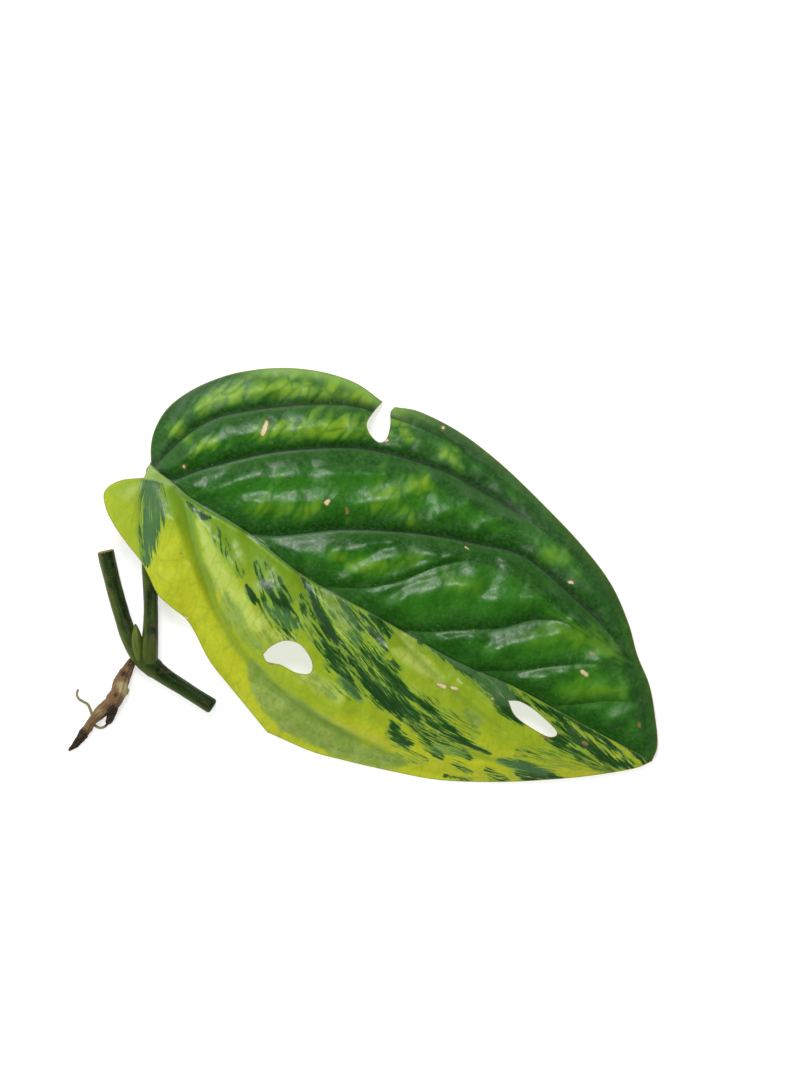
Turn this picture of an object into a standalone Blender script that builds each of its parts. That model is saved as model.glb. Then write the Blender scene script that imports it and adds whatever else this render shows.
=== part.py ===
"""Monstera cutting, lying on a surface with the upper face of its leaf up.

One leaf blade on its stalk, a short length of vine with one node, the bud in the axil of the leaf
and a branched aerial root. Values are in millimetres, and MM turns them into Blender's metres.
Places are measured from the leaf base, where the stalk bends over into the midrib.
"""
import math

import bmesh
import bpy
import numpy as np
from mathutils.geometry import delaunay_2d_cdt

MM = 0.001

# The leaf's base, seen from the middle of the cutting's footprint
BASE_PLACE = (-51.7, 24.7)
# The leaf's length axis points right and down, seen from above
LEAF_TURN = math.radians(-29.8)
LEAF_LENGTH = 139.9
BLADE_THICKNESS = 0.7
# The upper face comes no lower than this, so the blade is flat where it rests
LOWEST_FACE = 0.65
# Distance between the points that the blade's surface is made of
BLADE_SPACING = 2.5
# Room between pieces that touch
CLEARANCE = 0.3
TUBE_STEP = 2.0
KNEE_STEP = 1.0

# Outline of the blade, as (along the leaf, across it), each run between two corners
UPPER_BACK_MARGIN = [
    (-0.7, 2.7), (-2.5, 5.8), (-3.7, 9.8), (-3.7, 15.1), (-1.9, 20.3), (1.6, 25.9),
    (7.1, 31.9), (14.9, 37.6), (23.7, 41.7), (32.5, 43.6), (40.5, 42.9),
]
TORN_NOTCH = [
    (40.5, 42.9), (39.9, 40.1), (39.8, 36.4), (42.1, 34.4), (44.8, 34.0), (45.7, 35.9),
    (44.7, 39.2), (43.3, 41.6), (43.6, 43.3),
]
UPPER_FRONT_MARGIN = [
    (43.6, 43.3), (49.5, 45.3), (60.3, 45.8), (72.3, 44.2), (85.3, 41.0), (98.7, 37.0),
    (109.8, 32.3), (118.2, 26.2), (124.1, 20.4), (130.2, 15.6), (135.4, 9.4), (139.1, 4.0),
    (LEAF_LENGTH, 0.0),
]
LOWER_FRONT_MARGIN = [
    (LEAF_LENGTH, 0.0), (137.2, -3.5), (130.6, -9.0), (122.8, -14.7), (110.6, -22.6),
    (97.8, -29.4), (86.2, -33.5), (74.6, -37.0), (67.1, -38.9), (55.8, -40.1),
]
LOWER_BACK_MARGIN = [
    (55.8, -40.1), (49.7, -37.7), (42.5, -34.9), (35.2, -31.9), (28.6, -27.6), (25.1, -25.9),
    (20.9, -25.3), (16.6, -24.2), (12.6, -21.5), (9.1, -19.3), (5.1, -17.7), (0.2, -15.5),
    (-4.0, -12.9), (-6.6, -9.9), (-6.4, -7.3), (-4.4, -4.5), (-0.2, -1.5),
]
# Holes through the blade beside the midrib
BACK_HOLE = [
    (45.8, -24.1), (46.5, -21.5), (48.7, -18.6), (52.4, -17.6), (56.6, -19.6), (57.8, -22.3),
    (54.9, -23.9), (50.8, -24.1), (47.5, -25.1), (45.8, -24.1),
]
FRONT_HOLE = [
    (102.4, -4.5), (105.1, -3.3), (109.8, -3.5), (116.2, -5.2), (115.4, -7.1), (110.9, -7.4),
    (105.7, -6.8), (102.4, -4.5),
]

MIDRIB = [
    (0.0, 0.0), (5.6, 0.4), (12.7, -0.6), (28.1, -0.8), (44.7, -3.1), (64.4, -2.7),
    (86.9, -2.5), (102.0, -0.9), (117.0, -0.6), (129.3, -0.3), (LEAF_LENGTH, 0.0),
]
# Main veins, from the midrib outwards, in the upper half and then in the lower half
VEINS = [
    [(1.0, 3.0), (3.5, 11.5), (7.5, 19.0), (14.0, 25.0), (23.5, 32.0), (34.0, 38.0),
     (44.0, 40.5), (53.5, 42.0), (64.5, 42.6), (73.0, 43.0)],
    [(2.8, 0.6), (6.5, 1.8), (10.5, 6.5), (17.5, 13.5), (25.0, 20.0), (37.0, 28.0),
     (46.0, 32.0), (60.5, 35.5), (71.5, 36.0), (83.0, 35.5), (93.0, 34.5), (104.5, 32.0),
     (113.0, 28.0)],
    [(28.0, -0.8), (35.0, 2.5), (47.0, 11.0), (59.5, 17.5), (69.0, 21.5), (78.0, 24.5),
     (86.0, 27.0), (93.5, 26.8), (103.0, 24.8), (112.5, 22.5), (120.5, 19.0), (127.5, 14.0)],
    [(50.0, -3.0), (56.0, 0.0), (60.0, 2.5), (65.5, 7.5), (72.0, 15.5), (78.5, 20.5),
     (86.5, 22.0), (94.0, 21.5), (102.0, 20.5)],
    [(71.5, -2.7), (78.0, 0.5), (84.0, 4.5), (92.0, 9.5), (97.0, 14.5), (103.0, 18.0),
     (110.0, 18.5)],
    [(92.5, -2.0), (101.0, 3.0), (109.0, 9.0), (116.0, 13.5), (121.0, 15.5)],
    [(112.0, -0.7), (118.0, 3.5), (124.5, 8.0), (130.0, 10.5)],
    [(0.6, -1.2), (1.5, -4.0), (4.0, -10.5), (9.5, -18.0)],
    [(8.1, -0.2), (12.0, -2.5), (17.5, -8.5), (25.0, -15.5), (31.0, -20.5), (39.5, -25.5),
     (48.5, -28.8), (58.0, -30.8), (68.0, -31.3), (78.5, -30.5), (88.5, -29.0)],
    [(44.0, -3.1), (48.5, -6.5), (57.0, -11.5), (65.5, -14.5), (74.5, -18.0), (85.0, -21.0),
     (95.5, -20.8), (105.5, -19.0), (115.0, -15.8), (123.0, -12.0)],
    [(67.5, -2.7), (75.5, -5.5), (85.5, -8.0), (94.5, -9.8), (104.0, -11.0), (115.0, -10.8),
     (125.0, -9.0)],
    [(108.0, -0.8), (117.0, -2.6), (125.0, -4.8), (131.0, -5.8)],
]

# Height of the upper face above the surface that the cutting lies on, as (along the leaf, height)
MIDRIB_HEIGHT = [
    (-8.0, 8.6), (0.0, 8.6), (20.0, 9.4), (45.0, 9.6), (75.0, 8.8), (105.0, 6.3),
    (125.0, 3.8), (140.0, 1.9),
]
UPPER_EDGE_HEIGHT = [
    (-8.0, 7.2), (5.0, 5.8), (25.0, 3.0), (45.0, 0.6), (58.0, -0.9), (76.0, -0.9),
    (95.0, 1.0), (120.0, 2.4), (140.0, 1.7),
]
LOWER_EDGE_HEIGHT = [
    (-8.0, 6.8), (5.0, 7.0), (18.0, 6.6), (35.0, 4.2), (55.0, 1.2), (72.0, -0.9),
    (92.0, -0.9), (110.0, 1.0), (128.0, 1.7), (140.0, 1.7),
]
# Each half crowns between midrib and margin, and swells between its veins
CROWN_HEIGHT = 1.7
CROWN_FULL_WIDTH = 30.0
MIDRIB_GROOVE = (0.6, 1.6)
VEIN_FURROW = (0.7, 1.5)
SWELLING = (1.1, 4.5)
RIPPLE_HEIGHT = 0.28
RIPPLE_LENGTHS = (10.5, 14.0)
# Thickening under the midrib at its base and tip, half its width, and the same under a vein
RIB_DEPTH = (1.9, 0.2)
RIB_HALF_WIDTH = 1.3
RIB_LINES_END = 112.0
VEIN_RIDGE = (0.35, 1.2)

# Stem through its node, from the upper cut end to the lower one, as (x, y, radius)
STEM_LINE = [
    (-10.3, -19.1, 2.05), (-8.9, -25.3, 1.95), (-7.0, -32.3, 1.95), (-4.8, -39.1, 2.05),
    (-2.4, -43.4, 2.35), (0.2, -46.1, 2.5), (3.9, -49.0, 2.05), (8.7, -52.1, 1.85),
    (15.0, -56.1, 1.85),
]
CUT_END_ROUNDING = 0.45
# Stalk from the node to the knee under the leaf base, as (x, y, height of its axis, radius)
PETIOLE_LINE = [
    (0.0, -45.0, 3.0, 2.3), (0.2, -42.0, 3.1, 2.15), (0.5, -38.5, 3.0, 1.9),
    (0.6, -34.0, 2.9, 1.75), (0.5, -29.0, 2.8, 1.75), (0.1, -23.0, 2.8, 1.7),
    (0.1, -16.0, 2.8, 1.7), (0.4, -9.5, 2.8, 1.75), (0.9, -5.0, 2.85, 1.8),
]
KNEE_CENTRE = (1.4, -2.1, 5.2)
KNEE_RADIUS = 2.35
KNEE_TUBE_RADIUS = 1.85
KNEE_TOP = 5.75

BUD_CENTRE = (-2.6, -41.0, 4.2)
BUD_HALF_SIZE = (1.35, 4.7, 1.2)
BUD_LEAN = math.radians(6.0)

# Aerial root and what branches from it, as (x, y, radius)
ROOT_LINE = [
    (-2.6, -44.2, 0.9), (-3.9, -45.4, 1.0), (-5.1, -47.4, 1.35), (-6.4, -50.0, 1.85),
    (-7.2, -52.6, 1.95), (-8.7, -55.3, 1.9), (-11.1, -57.4, 1.6), (-13.3, -59.6, 1.1),
    (-15.0, -62.0, 1.1), (-16.7, -64.4, 0.95), (-18.2, -66.0, 0.6), (-19.2, -66.9, 0.3),
]
SIDE_ROOT_LINE = [
    (-8.2, -54.4, 1.0), (-8.5, -56.6, 1.15), (-9.2, -58.9, 0.95), (-9.9, -60.4, 0.5),
]
ROOT_BUMP_LINE = [(-7.0, -51.8, 0.9), (-5.9, -52.5, 1.15), (-5.2, -53.0, 0.8)]
LOOP_ROOTLET_LINE = [
    (-9.6, -60.0, 0.35), (-10.6, -61.2, 0.32), (-11.8, -61.5, 0.32), (-13.0, -60.9, 0.32),
    (-13.7, -59.6, 0.3),
]
CURLED_ROOTLET_LINE = [
    (-13.5, -58.9, 0.4), (-14.1, -57.2, 0.36), (-14.7, -55.9, 0.34), (-15.8, -55.2, 0.32),
    (-16.9, -54.5, 0.3), (-17.4, -53.3, 0.28), (-17.1, -52.3, 0.25),
]

# Branches lie this much clear of the surface
BRANCH_LIFT = 0.1

LEAF_GREEN = (0.045, 0.16, 0.02, 1.0)
STALK_GREEN = (0.07, 0.15, 0.03, 1.0)
STEM_GREEN = (0.045, 0.11, 0.025, 1.0)
BUD_OLIVE = (0.26, 0.31, 0.07, 1.0)
ROOT_BROWN = (0.23, 0.15, 0.08, 1.0)


def through(points, spacing):
    """Points about spacing apart on a smooth curve through points placed by hand."""
    placed = np.array(points, float)
    padded = np.vstack([2 * placed[0] - placed[1], placed, 2 * placed[-1] - placed[-2]])
    t = np.linspace(0, 1, 12, endpoint=False)[:, None]
    spans = []
    for a, b, c, d in zip(padded, padded[1:], padded[2:], padded[3:]):
        bend = (2 * a - 5 * b + 4 * c - d) * t**2 + (3 * b - a - 3 * c + d) * t**3
        spans.append(b + 0.5 * ((c - a) * t + bend))
    fine = np.vstack(spans + [placed[-1:]])
    gaps = np.linalg.norm(np.diff(fine, axis=0), axis=1)
    travelled = np.concatenate([[0], np.cumsum(gaps)])
    stations = np.linspace(0, travelled[-1], max(2, round(travelled[-1] / spacing) + 1))
    return np.column_stack([np.interp(stations, travelled, column) for column in fine.T])


def profile(points, along):
    """The value of a smooth curve through (along, value) points."""
    curve = through(points, 0.5)
    return np.interp(along, curve[:, 0], curve[:, 1])


def distance_to(line, spots):
    """How far each spot lies from a line of points."""
    nearest = np.full(len(spots), np.inf)
    for start, run in zip(line, np.diff(line, axis=0)):
        t = np.clip((spots - start) @ run / (run @ run), 0, 1)
        gap = np.linalg.norm(spots - start - t[:, None] * run, axis=1)
        nearest = np.minimum(nearest, gap)
    return nearest


def inside(loop, spots):
    """Which spots lie inside a closed loop of points."""
    odd = np.zeros(len(spots), bool)
    for (ax, ay), (bx, by) in zip(loop, np.roll(loop, -1, axis=0)):
        if ay != by:
            spans = (ay > spots[:, 1]) != (by > spots[:, 1])
            odd ^= spans & (spots[:, 0] < ax + (spots[:, 1] - ay) * (bx - ax) / (by - ay))
    return odd


def bell(distance, width):
    """One on a line, falling smoothly to nothing a few widths away."""
    return np.exp(-((distance / width) ** 2))


def joined(runs, spacing):
    """One closed loop from runs that meet at corners."""
    return np.vstack([through(run, spacing)[:-1] for run in runs])


def blade_loops(spacing):
    """The blade's outline and its two holes, and the outline as it was before it tore."""
    base_edge = [LOWER_BACK_MARGIN[-1], UPPER_BACK_MARGIN[0]]
    front = [UPPER_FRONT_MARGIN, LOWER_FRONT_MARGIN, LOWER_BACK_MARGIN, base_edge]
    outline = joined([UPPER_BACK_MARGIN, TORN_NOTCH] + front, spacing)
    untorn = joined([UPPER_BACK_MARGIN + UPPER_FRONT_MARGIN] + front[1:], spacing)
    holes = [joined([hole], spacing / 2) for hole in (BACK_HOLE, FRONT_HOLE)]
    return outline, holes, np.vstack([untorn, untorn[:1]])


def on_blade(spots, outline, holes):
    """Which spots lie on the blade and not over a hole."""
    return inside(outline, spots) & ~inside(holes[0], spots) & ~inside(holes[1], spots)


def keep_apart(taken, candidates, gap):
    """Adds each candidate that keeps a gap to all the spots taken before it."""
    kept = list(taken)
    for spot in candidates:
        if np.min(np.linalg.norm(np.array(kept) - spot, axis=1)) > gap:
            kept.append(spot)
    return np.array(kept)


def linked(spots, first, reach):
    """Edges between neighbours along a row of new spots, and from its start to the nearest old one."""
    pairs = []
    if first < len(spots):
        nearest = int(np.argmin(np.linalg.norm(spots[:first] - spots[first], axis=1)))
        pairs = [(nearest, first)] + [(i, i + 1) for i in range(first, len(spots) - 1)]
    return [(i, j) for i, j in pairs if np.linalg.norm(spots[i] - spots[j]) < reach]


def blade_spots(spacing):
    """The blade's points in plan, in rows along its veins and a triangular grid between."""
    outline, holes, _ = blade_loops(spacing)
    edges, first = [], 0
    for loop in [outline] + holes:
        count = len(loop)
        edges += [(first + i, first + (i + 1) % count) for i in range(count)]
        first += count
    spots = np.vstack([outline] + holes)
    rib = through(MIDRIB, spacing)
    rib_sides = through(MIDRIB, spacing / 2)[1::2]
    rib_sides = rib_sides[rib_sides[:, 0] < RIB_LINES_END]
    across = np.array([0, RIB_HALF_WIDTH])
    rows = [(rib, 0.4), (rib_sides + across, 0.4), (rib_sides - across, 0.4)]
    rows += [(through(vein, spacing), 0.6) for vein in VEINS]
    for row, apart in rows:
        row = row[on_blade(row, outline, holes)]
        first = len(spots)
        spots = keep_apart(spots, row, apart * spacing)
        edges += linked(spots, first, 1.6 * spacing)
    low, high = outline.min(axis=0), outline.max(axis=0)
    for number, y in enumerate(np.arange(low[1], high[1], spacing * math.sqrt(3) / 2)):
        xs = np.arange(low[0] + number % 2 * spacing / 2, high[0], spacing)
        row = np.column_stack([xs, np.full(len(xs), y)])
        spots = keep_apart(spots, row[on_blade(row, outline, holes)], 0.7 * spacing)
    return spots, edges, holes


def blade_height(spots):
    """Height of the blade's upper face at spots in plan."""
    untorn = blade_loops(BLADE_SPACING)[2]
    rib = through(MIDRIB, BLADE_SPACING)
    from_rib = distance_to(rib, spots)
    from_margin = distance_to(untorn, spots)
    from_vein = np.min([distance_to(through(v, BLADE_SPACING), spots) for v in VEINS], axis=0)
    along = spots[:, 0]
    upper = spots[:, 1] > np.interp(along, rib[:, 0], rib[:, 1])
    upper_edge = profile(UPPER_EDGE_HEIGHT, along)
    lower_edge = profile(LOWER_EDGE_HEIGHT, along)
    edge = np.where(upper, upper_edge, lower_edge)
    width = from_rib + from_margin
    share = from_rib / np.maximum(width, 0.001)
    arch = profile(MIDRIB_HEIGHT, along) * (1 - share**2) + edge * share**2
    crown = 4 * CROWN_HEIGHT * share * (1 - share) * np.minimum(1, width / CROWN_FULL_WIDTH)
    from_any = np.minimum(np.minimum(from_vein, from_rib), from_margin)
    swell = 1 - bell(from_any, SWELLING[1])
    ripple = np.sin(math.tau * along / RIPPLE_LENGTHS[0] + 1.3 * np.sin(spots[:, 1] / 6))
    ripple *= np.sin(math.tau * spots[:, 1] / RIPPLE_LENGTHS[1] + along / 17)
    relief = SWELLING[0] * swell + RIPPLE_HEIGHT * ripple * swell
    relief -= VEIN_FURROW[0] * bell(from_vein, VEIN_FURROW[1]) * np.minimum(1, from_margin / 8)
    relief -= MIDRIB_GROOVE[0] * bell(from_rib, MIDRIB_GROOVE[1])
    return np.maximum(arch + crown + relief, LOWEST_FACE)


def blade_depth(spots):
    """Thickness of the blade at spots in plan, with its ribs underneath."""
    rib = through(MIDRIB, BLADE_SPACING)
    at_rib = distance_to(rib, spots) < RIB_HALF_WIDTH / 2
    rib_depth = np.interp(spots[:, 0], [0, LEAF_LENGTH], RIB_DEPTH)
    from_vein = np.min([distance_to(through(v, BLADE_SPACING), spots) for v in VEINS], axis=0)
    vein_depth = VEIN_RIDGE[0] * bell(from_vein, VEIN_RIDGE[1])
    return BLADE_THICKNESS + np.where(at_rib, rib_depth, vein_depth)


def leaf_to_plan(spots):
    """Turns spots on the leaf's own axes into places from the leaf base."""
    cos, sin = math.cos(LEAF_TURN), math.sin(LEAF_TURN)
    return spots @ np.array([[cos, sin], [-sin, cos]])


def to_world(places):
    """Places from the leaf base in millimetres, as metres from the middle of the footprint."""
    moved = np.array(places, float)
    moved[:, :2] += BASE_PLACE
    return moved * MM


def collection_named(name):
    """A new collection in the scene."""
    made = bpy.data.collections.new(name)
    bpy.context.scene.collection.children.link(made)
    return made


def finish(name, colour, roughness):
    """A plain material for one kind of tissue."""
    made = bpy.data.materials.new(name)
    made.use_nodes = True
    shader = made.node_tree.nodes["Principled BSDF"]
    shader.inputs["Base Color"].default_value = colour
    shader.inputs["Roughness"].default_value = roughness
    shader.inputs["Metallic"].default_value = 0.0
    return made


def applied(obj):
    """Replaces an object by a plain mesh of what its modifiers or its curve make."""
    graph = bpy.context.evaluated_depsgraph_get()
    mesh = bpy.data.meshes.new_from_object(obj.evaluated_get(graph))
    name, place, home = obj.name, obj.matrix_world.copy(), obj.users_collection[0]
    bpy.data.objects.remove(obj)
    made = bpy.data.objects.new(name, mesh)
    made.matrix_world = place
    home.objects.link(made)
    return made


def tidy_mesh(obj):
    """Merges the caps of a tube with its wall and points every face outwards."""
    bm = bmesh.new()
    bm.from_mesh(obj.data)
    bmesh.ops.remove_doubles(bm, verts=bm.verts, dist=0.00001)
    bmesh.ops.triangulate(bm, faces=bm.faces)
    bmesh.ops.recalc_face_normals(bm, faces=bm.faces)
    bm.to_mesh(obj.data)
    bm.free()


def tube(name, line, home, step=TUBE_STEP, grow=0.0):
    """A closed tube along a line of (x, y, height, radius), grown all round by a clearance."""
    stations = through(line, step)
    for end, before in ((0, 1), (-1, -2)):
        away = stations[end, :3] - stations[before, :3]
        stations[end, :3] += grow * away / np.linalg.norm(away)
    places = to_world(stations[:, :3])
    curve = bpy.data.curves.new(name, "CURVE")
    curve.dimensions = "3D"
    curve.bevel_depth = MM
    curve.bevel_resolution = 4
    curve.use_fill_caps = True
    spline = curve.splines.new("POLY")
    spline.points.add(len(places) - 1)
    for point, place, radius in zip(spline.points, places, stations[:, 3]):
        point.co = (*place, 1.0)
        point.radius = radius + grow
    obj = bpy.data.objects.new(name, curve)
    home.objects.link(obj)
    obj = applied(obj)
    tidy_mesh(obj)
    return obj


def lying(line, lift=0.0):
    """A line of (x, y, radius) laid on the surface, so that its height is its radius."""
    return [(x, y, radius + lift, radius) for x, y, radius in line]


def rounded_ends(line):
    """A stem's line with a short narrower station at each cut end."""
    ends = []
    for end, before in ((line[0], line[1]), (line[-1], line[-2])):
        away = np.array(end[:2]) - np.array(before[:2])
        away *= CUT_END_ROUNDING / np.linalg.norm(away)
        ends.append((*(np.array(end[:2]) + away), end[2] - CUT_END_ROUNDING))
    return [ends[0]] + line + [ends[1]]


def knee():
    """The stalk's end, where it turns from lying to upright under the leaf base."""
    x, y, z = KNEE_CENTRE
    stations = []
    for turn in np.radians([-90, -68, -46, -24, 0]):
        place = (x, y + KNEE_RADIUS * math.cos(turn), z + KNEE_RADIUS * math.sin(turn))
        stations.append((*place, KNEE_TUBE_RADIUS))
    return stations + [(x, y + KNEE_RADIUS, KNEE_TOP, KNEE_TUBE_RADIUS)]


def cut_by(obj, cutter):
    """Cuts an object back from a neighbour's clearance solid."""
    cut = obj.modifiers.new("clearance to " + cutter.name, "BOOLEAN")
    cut.operation = "DIFFERENCE"
    cut.object = cutter


def smooth(obj, material, angle=40):
    """Shades a finished piece smooth, apart from its cut edges, and gives it its material."""
    obj.data.materials.clear()
    obj.data.materials.append(material)
    obj.data.shade_smooth()
    obj.data.set_sharp_from_angle(angle=math.radians(angle))


def make_leaf_blade(home):
    """The blade: a waved sheet of triangles, thickened downwards and flat where it rests."""
    spots, edges, holes = blade_spots(BLADE_SPACING)
    filled = delaunay_2d_cdt([tuple(spot) for spot in spots], edges, [], 1, 0.00001)
    spots, triangles = np.array([tuple(place) for place in filled[0]]), filled[2]
    centres = np.array([spots[list(triangle)].mean(axis=0) for triangle in triangles])
    in_hole = inside(holes[0], centres) | inside(holes[1], centres)
    kept = [triangle for triangle, gone in zip(triangles, in_hole) if not gone]
    places = to_world(np.column_stack([leaf_to_plan(spots), blade_height(spots)]))

    mesh = bpy.data.meshes.new("leaf_blade")
    mesh.from_pydata([tuple(place) for place in places], [], kept)
    obj = bpy.data.objects.new("leaf_blade", mesh)
    home.objects.link(obj)
    depth = blade_depth(spots)
    ribs = obj.vertex_groups.new(name="ribs")
    for index, share in enumerate(depth / depth.max()):
        ribs.add([index], share, "REPLACE")
    wall = obj.modifiers.new("thickness", "SOLIDIFY")
    wall.thickness = depth.max() * MM
    wall.offset = -1.0
    wall.vertex_group = "ribs"
    obj = applied(obj)
    for vertex in obj.data.vertices:
        vertex.co.z = max(vertex.co.z, 0.0)
    tidy_mesh(obj)
    return obj


def make_bud(home):
    """The bud: a flattened ball drawn out to a point, lying in the axil."""
    bm = bmesh.new()
    bmesh.ops.create_uvsphere(bm, u_segments=14, v_segments=12, radius=1.0)
    for vertex in bm.verts:
        x, y, z = vertex.co
        narrowing = 1 - 0.45 * max(0.0, z) ** 2
        across = np.array([x * narrowing * BUD_HALF_SIZE[0], z * BUD_HALF_SIZE[1]])
        cos, sin = math.cos(BUD_LEAN), math.sin(BUD_LEAN)
        plan = across @ np.array([[cos, sin], [-sin, cos]])
        place = (*plan, y * narrowing * BUD_HALF_SIZE[2])
        vertex.co = to_world([np.add(place, BUD_CENTRE)])[0]
    bmesh.ops.triangulate(bm, faces=bm.faces)
    bmesh.ops.recalc_face_normals(bm, faces=bm.faces)
    mesh = bpy.data.meshes.new("axillary_bud")
    bm.to_mesh(mesh)
    bm.free()
    obj = bpy.data.objects.new("axillary_bud", mesh)
    home.objects.link(obj)
    return obj


def make_aerial_root(home):
    """The root with its side branch, bump and rootlets, joined in one solid."""
    obj = tube("aerial_root", lying(ROOT_LINE), home)
    branches = bpy.data.collections.new("root_branches")
    bpy.context.scene.collection.children.link(branches)
    lines = [SIDE_ROOT_LINE, ROOT_BUMP_LINE, LOOP_ROOTLET_LINE, CURLED_ROOTLET_LINE]
    for number, line in enumerate(lines):
        tube(f"root_branch_{number}", lying(line, BRANCH_LIFT), branches)
    union = obj.modifiers.new("branches", "BOOLEAN")
    union.operation = "UNION"
    union.operand_type = "COLLECTION"
    union.collection = branches
    obj = applied(obj)
    for branch in list(branches.objects):
        bpy.data.objects.remove(branch)
    bpy.data.collections.remove(branches)
    return obj


def main():
    for obj in list(bpy.data.objects):
        bpy.data.objects.remove(obj)
    pieces = collection_named("monstera_cutting")
    cutters = collection_named("clearances")
    cutters.hide_render = True
    stem_line = lying(rounded_ends(STEM_LINE))
    petiole_line = PETIOLE_LINE + knee()
    stem_room = tube("stem_clearance", stem_line, cutters, grow=CLEARANCE)
    petiole_room = tube("petiole_clearance", petiole_line, cutters, KNEE_STEP, CLEARANCE)
    for cutter in (stem_room, petiole_room):
        cutter.hide_render = True
        cutter.display_type = "WIRE"

    stem = tube("stem", stem_line, pieces)
    smooth(stem, finish("stem skin", STEM_GREEN, 0.45))
    petiole = tube("petiole", petiole_line, pieces, KNEE_STEP)
    cut_by(petiole, stem_room)
    smooth(petiole, finish("stalk skin", STALK_GREEN, 0.4))
    blade = make_leaf_blade(pieces)
    cut_by(blade, petiole_room)
    smooth(blade, finish("leaf skin", LEAF_GREEN, 0.35))
    bud = make_bud(pieces)
    cut_by(bud, stem_room)
    cut_by(bud, petiole_room)
    smooth(bud, finish("bud skin", BUD_OLIVE, 0.5))
    root = make_aerial_root(pieces)
    cut_by(root, stem_room)
    smooth(root, finish("root bark", ROOT_BROWN, 0.8))


main()
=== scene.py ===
"""Monstera cutting: the finished leaf, stalk, stem, bud and aerial root, over the fixed frame.

The file is laid out as an add-on and run as a script. Each operator makes one piece from the sizes
and colours in its settings. Lists of places are in millimetres: on the leaf's own axes for the
blade, and measured from the leaf base for the stalk, stem, bud and root. Marks on the blade are in
the photograph's pixels.
"""
import math

import bpy
import numpy as np
from bpy.props import FloatProperty, FloatVectorProperty, IntProperty, PointerProperty
from bpy.types import Operator, Panel, PropertyGroup
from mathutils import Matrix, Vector, noise


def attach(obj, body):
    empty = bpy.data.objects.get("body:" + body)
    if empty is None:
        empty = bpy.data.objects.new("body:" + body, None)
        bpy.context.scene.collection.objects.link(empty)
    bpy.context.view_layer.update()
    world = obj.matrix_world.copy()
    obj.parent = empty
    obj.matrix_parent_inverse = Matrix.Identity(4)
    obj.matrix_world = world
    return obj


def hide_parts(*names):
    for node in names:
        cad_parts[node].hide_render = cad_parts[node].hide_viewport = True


bl_info = {
    "name": "Monstera Cutting",
    "version": (1, 0, 0),
    "blender": (4, 5, 0),
    "location": "3D View > Sidebar > Cutting",
    "description": "Makes the pieces of a rooted monstera cutting with one variegated leaf",
    "category": "Add Mesh",
}

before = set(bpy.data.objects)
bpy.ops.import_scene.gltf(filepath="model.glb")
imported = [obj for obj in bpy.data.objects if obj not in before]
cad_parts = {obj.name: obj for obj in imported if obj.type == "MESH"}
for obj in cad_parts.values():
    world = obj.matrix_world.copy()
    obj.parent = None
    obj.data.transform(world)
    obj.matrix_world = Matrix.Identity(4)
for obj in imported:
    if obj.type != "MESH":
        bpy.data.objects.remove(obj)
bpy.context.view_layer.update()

MM = 0.001

# The leaf's base, seen from the middle of the cutting's footprint
BASE_PLACE = (-51.7, 24.7)
LEAF_TURN = math.radians(-29.8)
LEAF_LENGTH = 139.9
LOWEST_FACE = 0.65
# How near to each other two points of the blade are merged
MERGE_REACH = 0.02
# Share of the rim's thinning that is taken from the upper face
TOP_SHARE = 0.35
# Distances between the points of the lines that shape each piece
MARGIN_STEP = 0.8
HOLE_STEP = 0.5
VEIN_STEP = 2.5
STALK_STEP = 0.35
ROOT_STEP = 0.22
# Millimetres that one pixel of the photograph shows, and the pixel of the leaf base
PIXEL = 0.24138
BASE_PIXEL = (149, 473)

# Outline of the blade, as (along the leaf, across it), each run between two corners
UPPER_BACK_MARGIN = [
    (-0.7, 2.7), (-2.5, 5.8), (-3.7, 9.8), (-3.7, 15.1), (-1.9, 20.3), (1.6, 25.9),
    (7.1, 31.9), (14.9, 37.6), (23.7, 41.7), (32.5, 43.6), (40.5, 42.9),
]
TORN_NOTCH = [
    (40.5, 42.9), (39.9, 40.1), (39.8, 36.4), (42.1, 34.4), (44.8, 34.0), (45.7, 35.9),
    (44.7, 39.2), (43.3, 41.6), (43.6, 43.3),
]
UPPER_FRONT_MARGIN = [
    (43.6, 43.3), (49.5, 45.3), (60.3, 45.8), (72.3, 44.2), (85.3, 41.0), (98.7, 37.0),
    (109.8, 32.3), (118.2, 26.2), (124.1, 20.4), (130.2, 15.6), (135.4, 9.4), (139.1, 4.0),
    (LEAF_LENGTH, 0.0),
]
LOWER_FRONT_MARGIN = [
    (LEAF_LENGTH, 0.0), (137.2, -3.5), (130.6, -9.0), (122.8, -14.7), (110.6, -22.6),
    (97.8, -29.4), (86.2, -33.5), (74.6, -37.0), (67.1, -38.9), (55.8, -40.1),
]
LOWER_BACK_MARGIN = [
    (55.8, -40.1), (49.7, -37.7), (42.5, -34.9), (35.2, -31.9), (28.6, -27.6), (25.1, -25.9),
    (20.9, -25.3), (16.6, -24.2), (12.6, -21.5), (9.1, -19.3), (5.1, -17.7), (0.2, -15.5),
    (-4.0, -12.9), (-6.6, -9.9), (-6.4, -7.3), (-4.4, -4.5), (-0.2, -1.5),
]
BACK_HOLE = [
    (45.8, -24.1), (46.5, -21.5), (48.7, -18.6), (52.4, -17.6), (56.6, -19.6), (57.8, -22.3),
    (54.9, -23.9), (50.8, -24.1), (47.5, -25.1), (45.8, -24.1),
]
FRONT_HOLE = [
    (102.4, -4.5), (105.1, -3.3), (109.8, -3.5), (116.2, -5.2), (115.4, -7.1), (110.9, -7.4),
    (105.7, -6.8), (102.4, -4.5),
]
MIDRIB = [
    (0.0, 0.0), (5.6, 0.4), (12.7, -0.6), (28.1, -0.8), (44.7, -3.1), (64.4, -2.7),
    (86.9, -2.5), (102.0, -0.9), (117.0, -0.6), (129.3, -0.3), (LEAF_LENGTH, 0.0),
]
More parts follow.
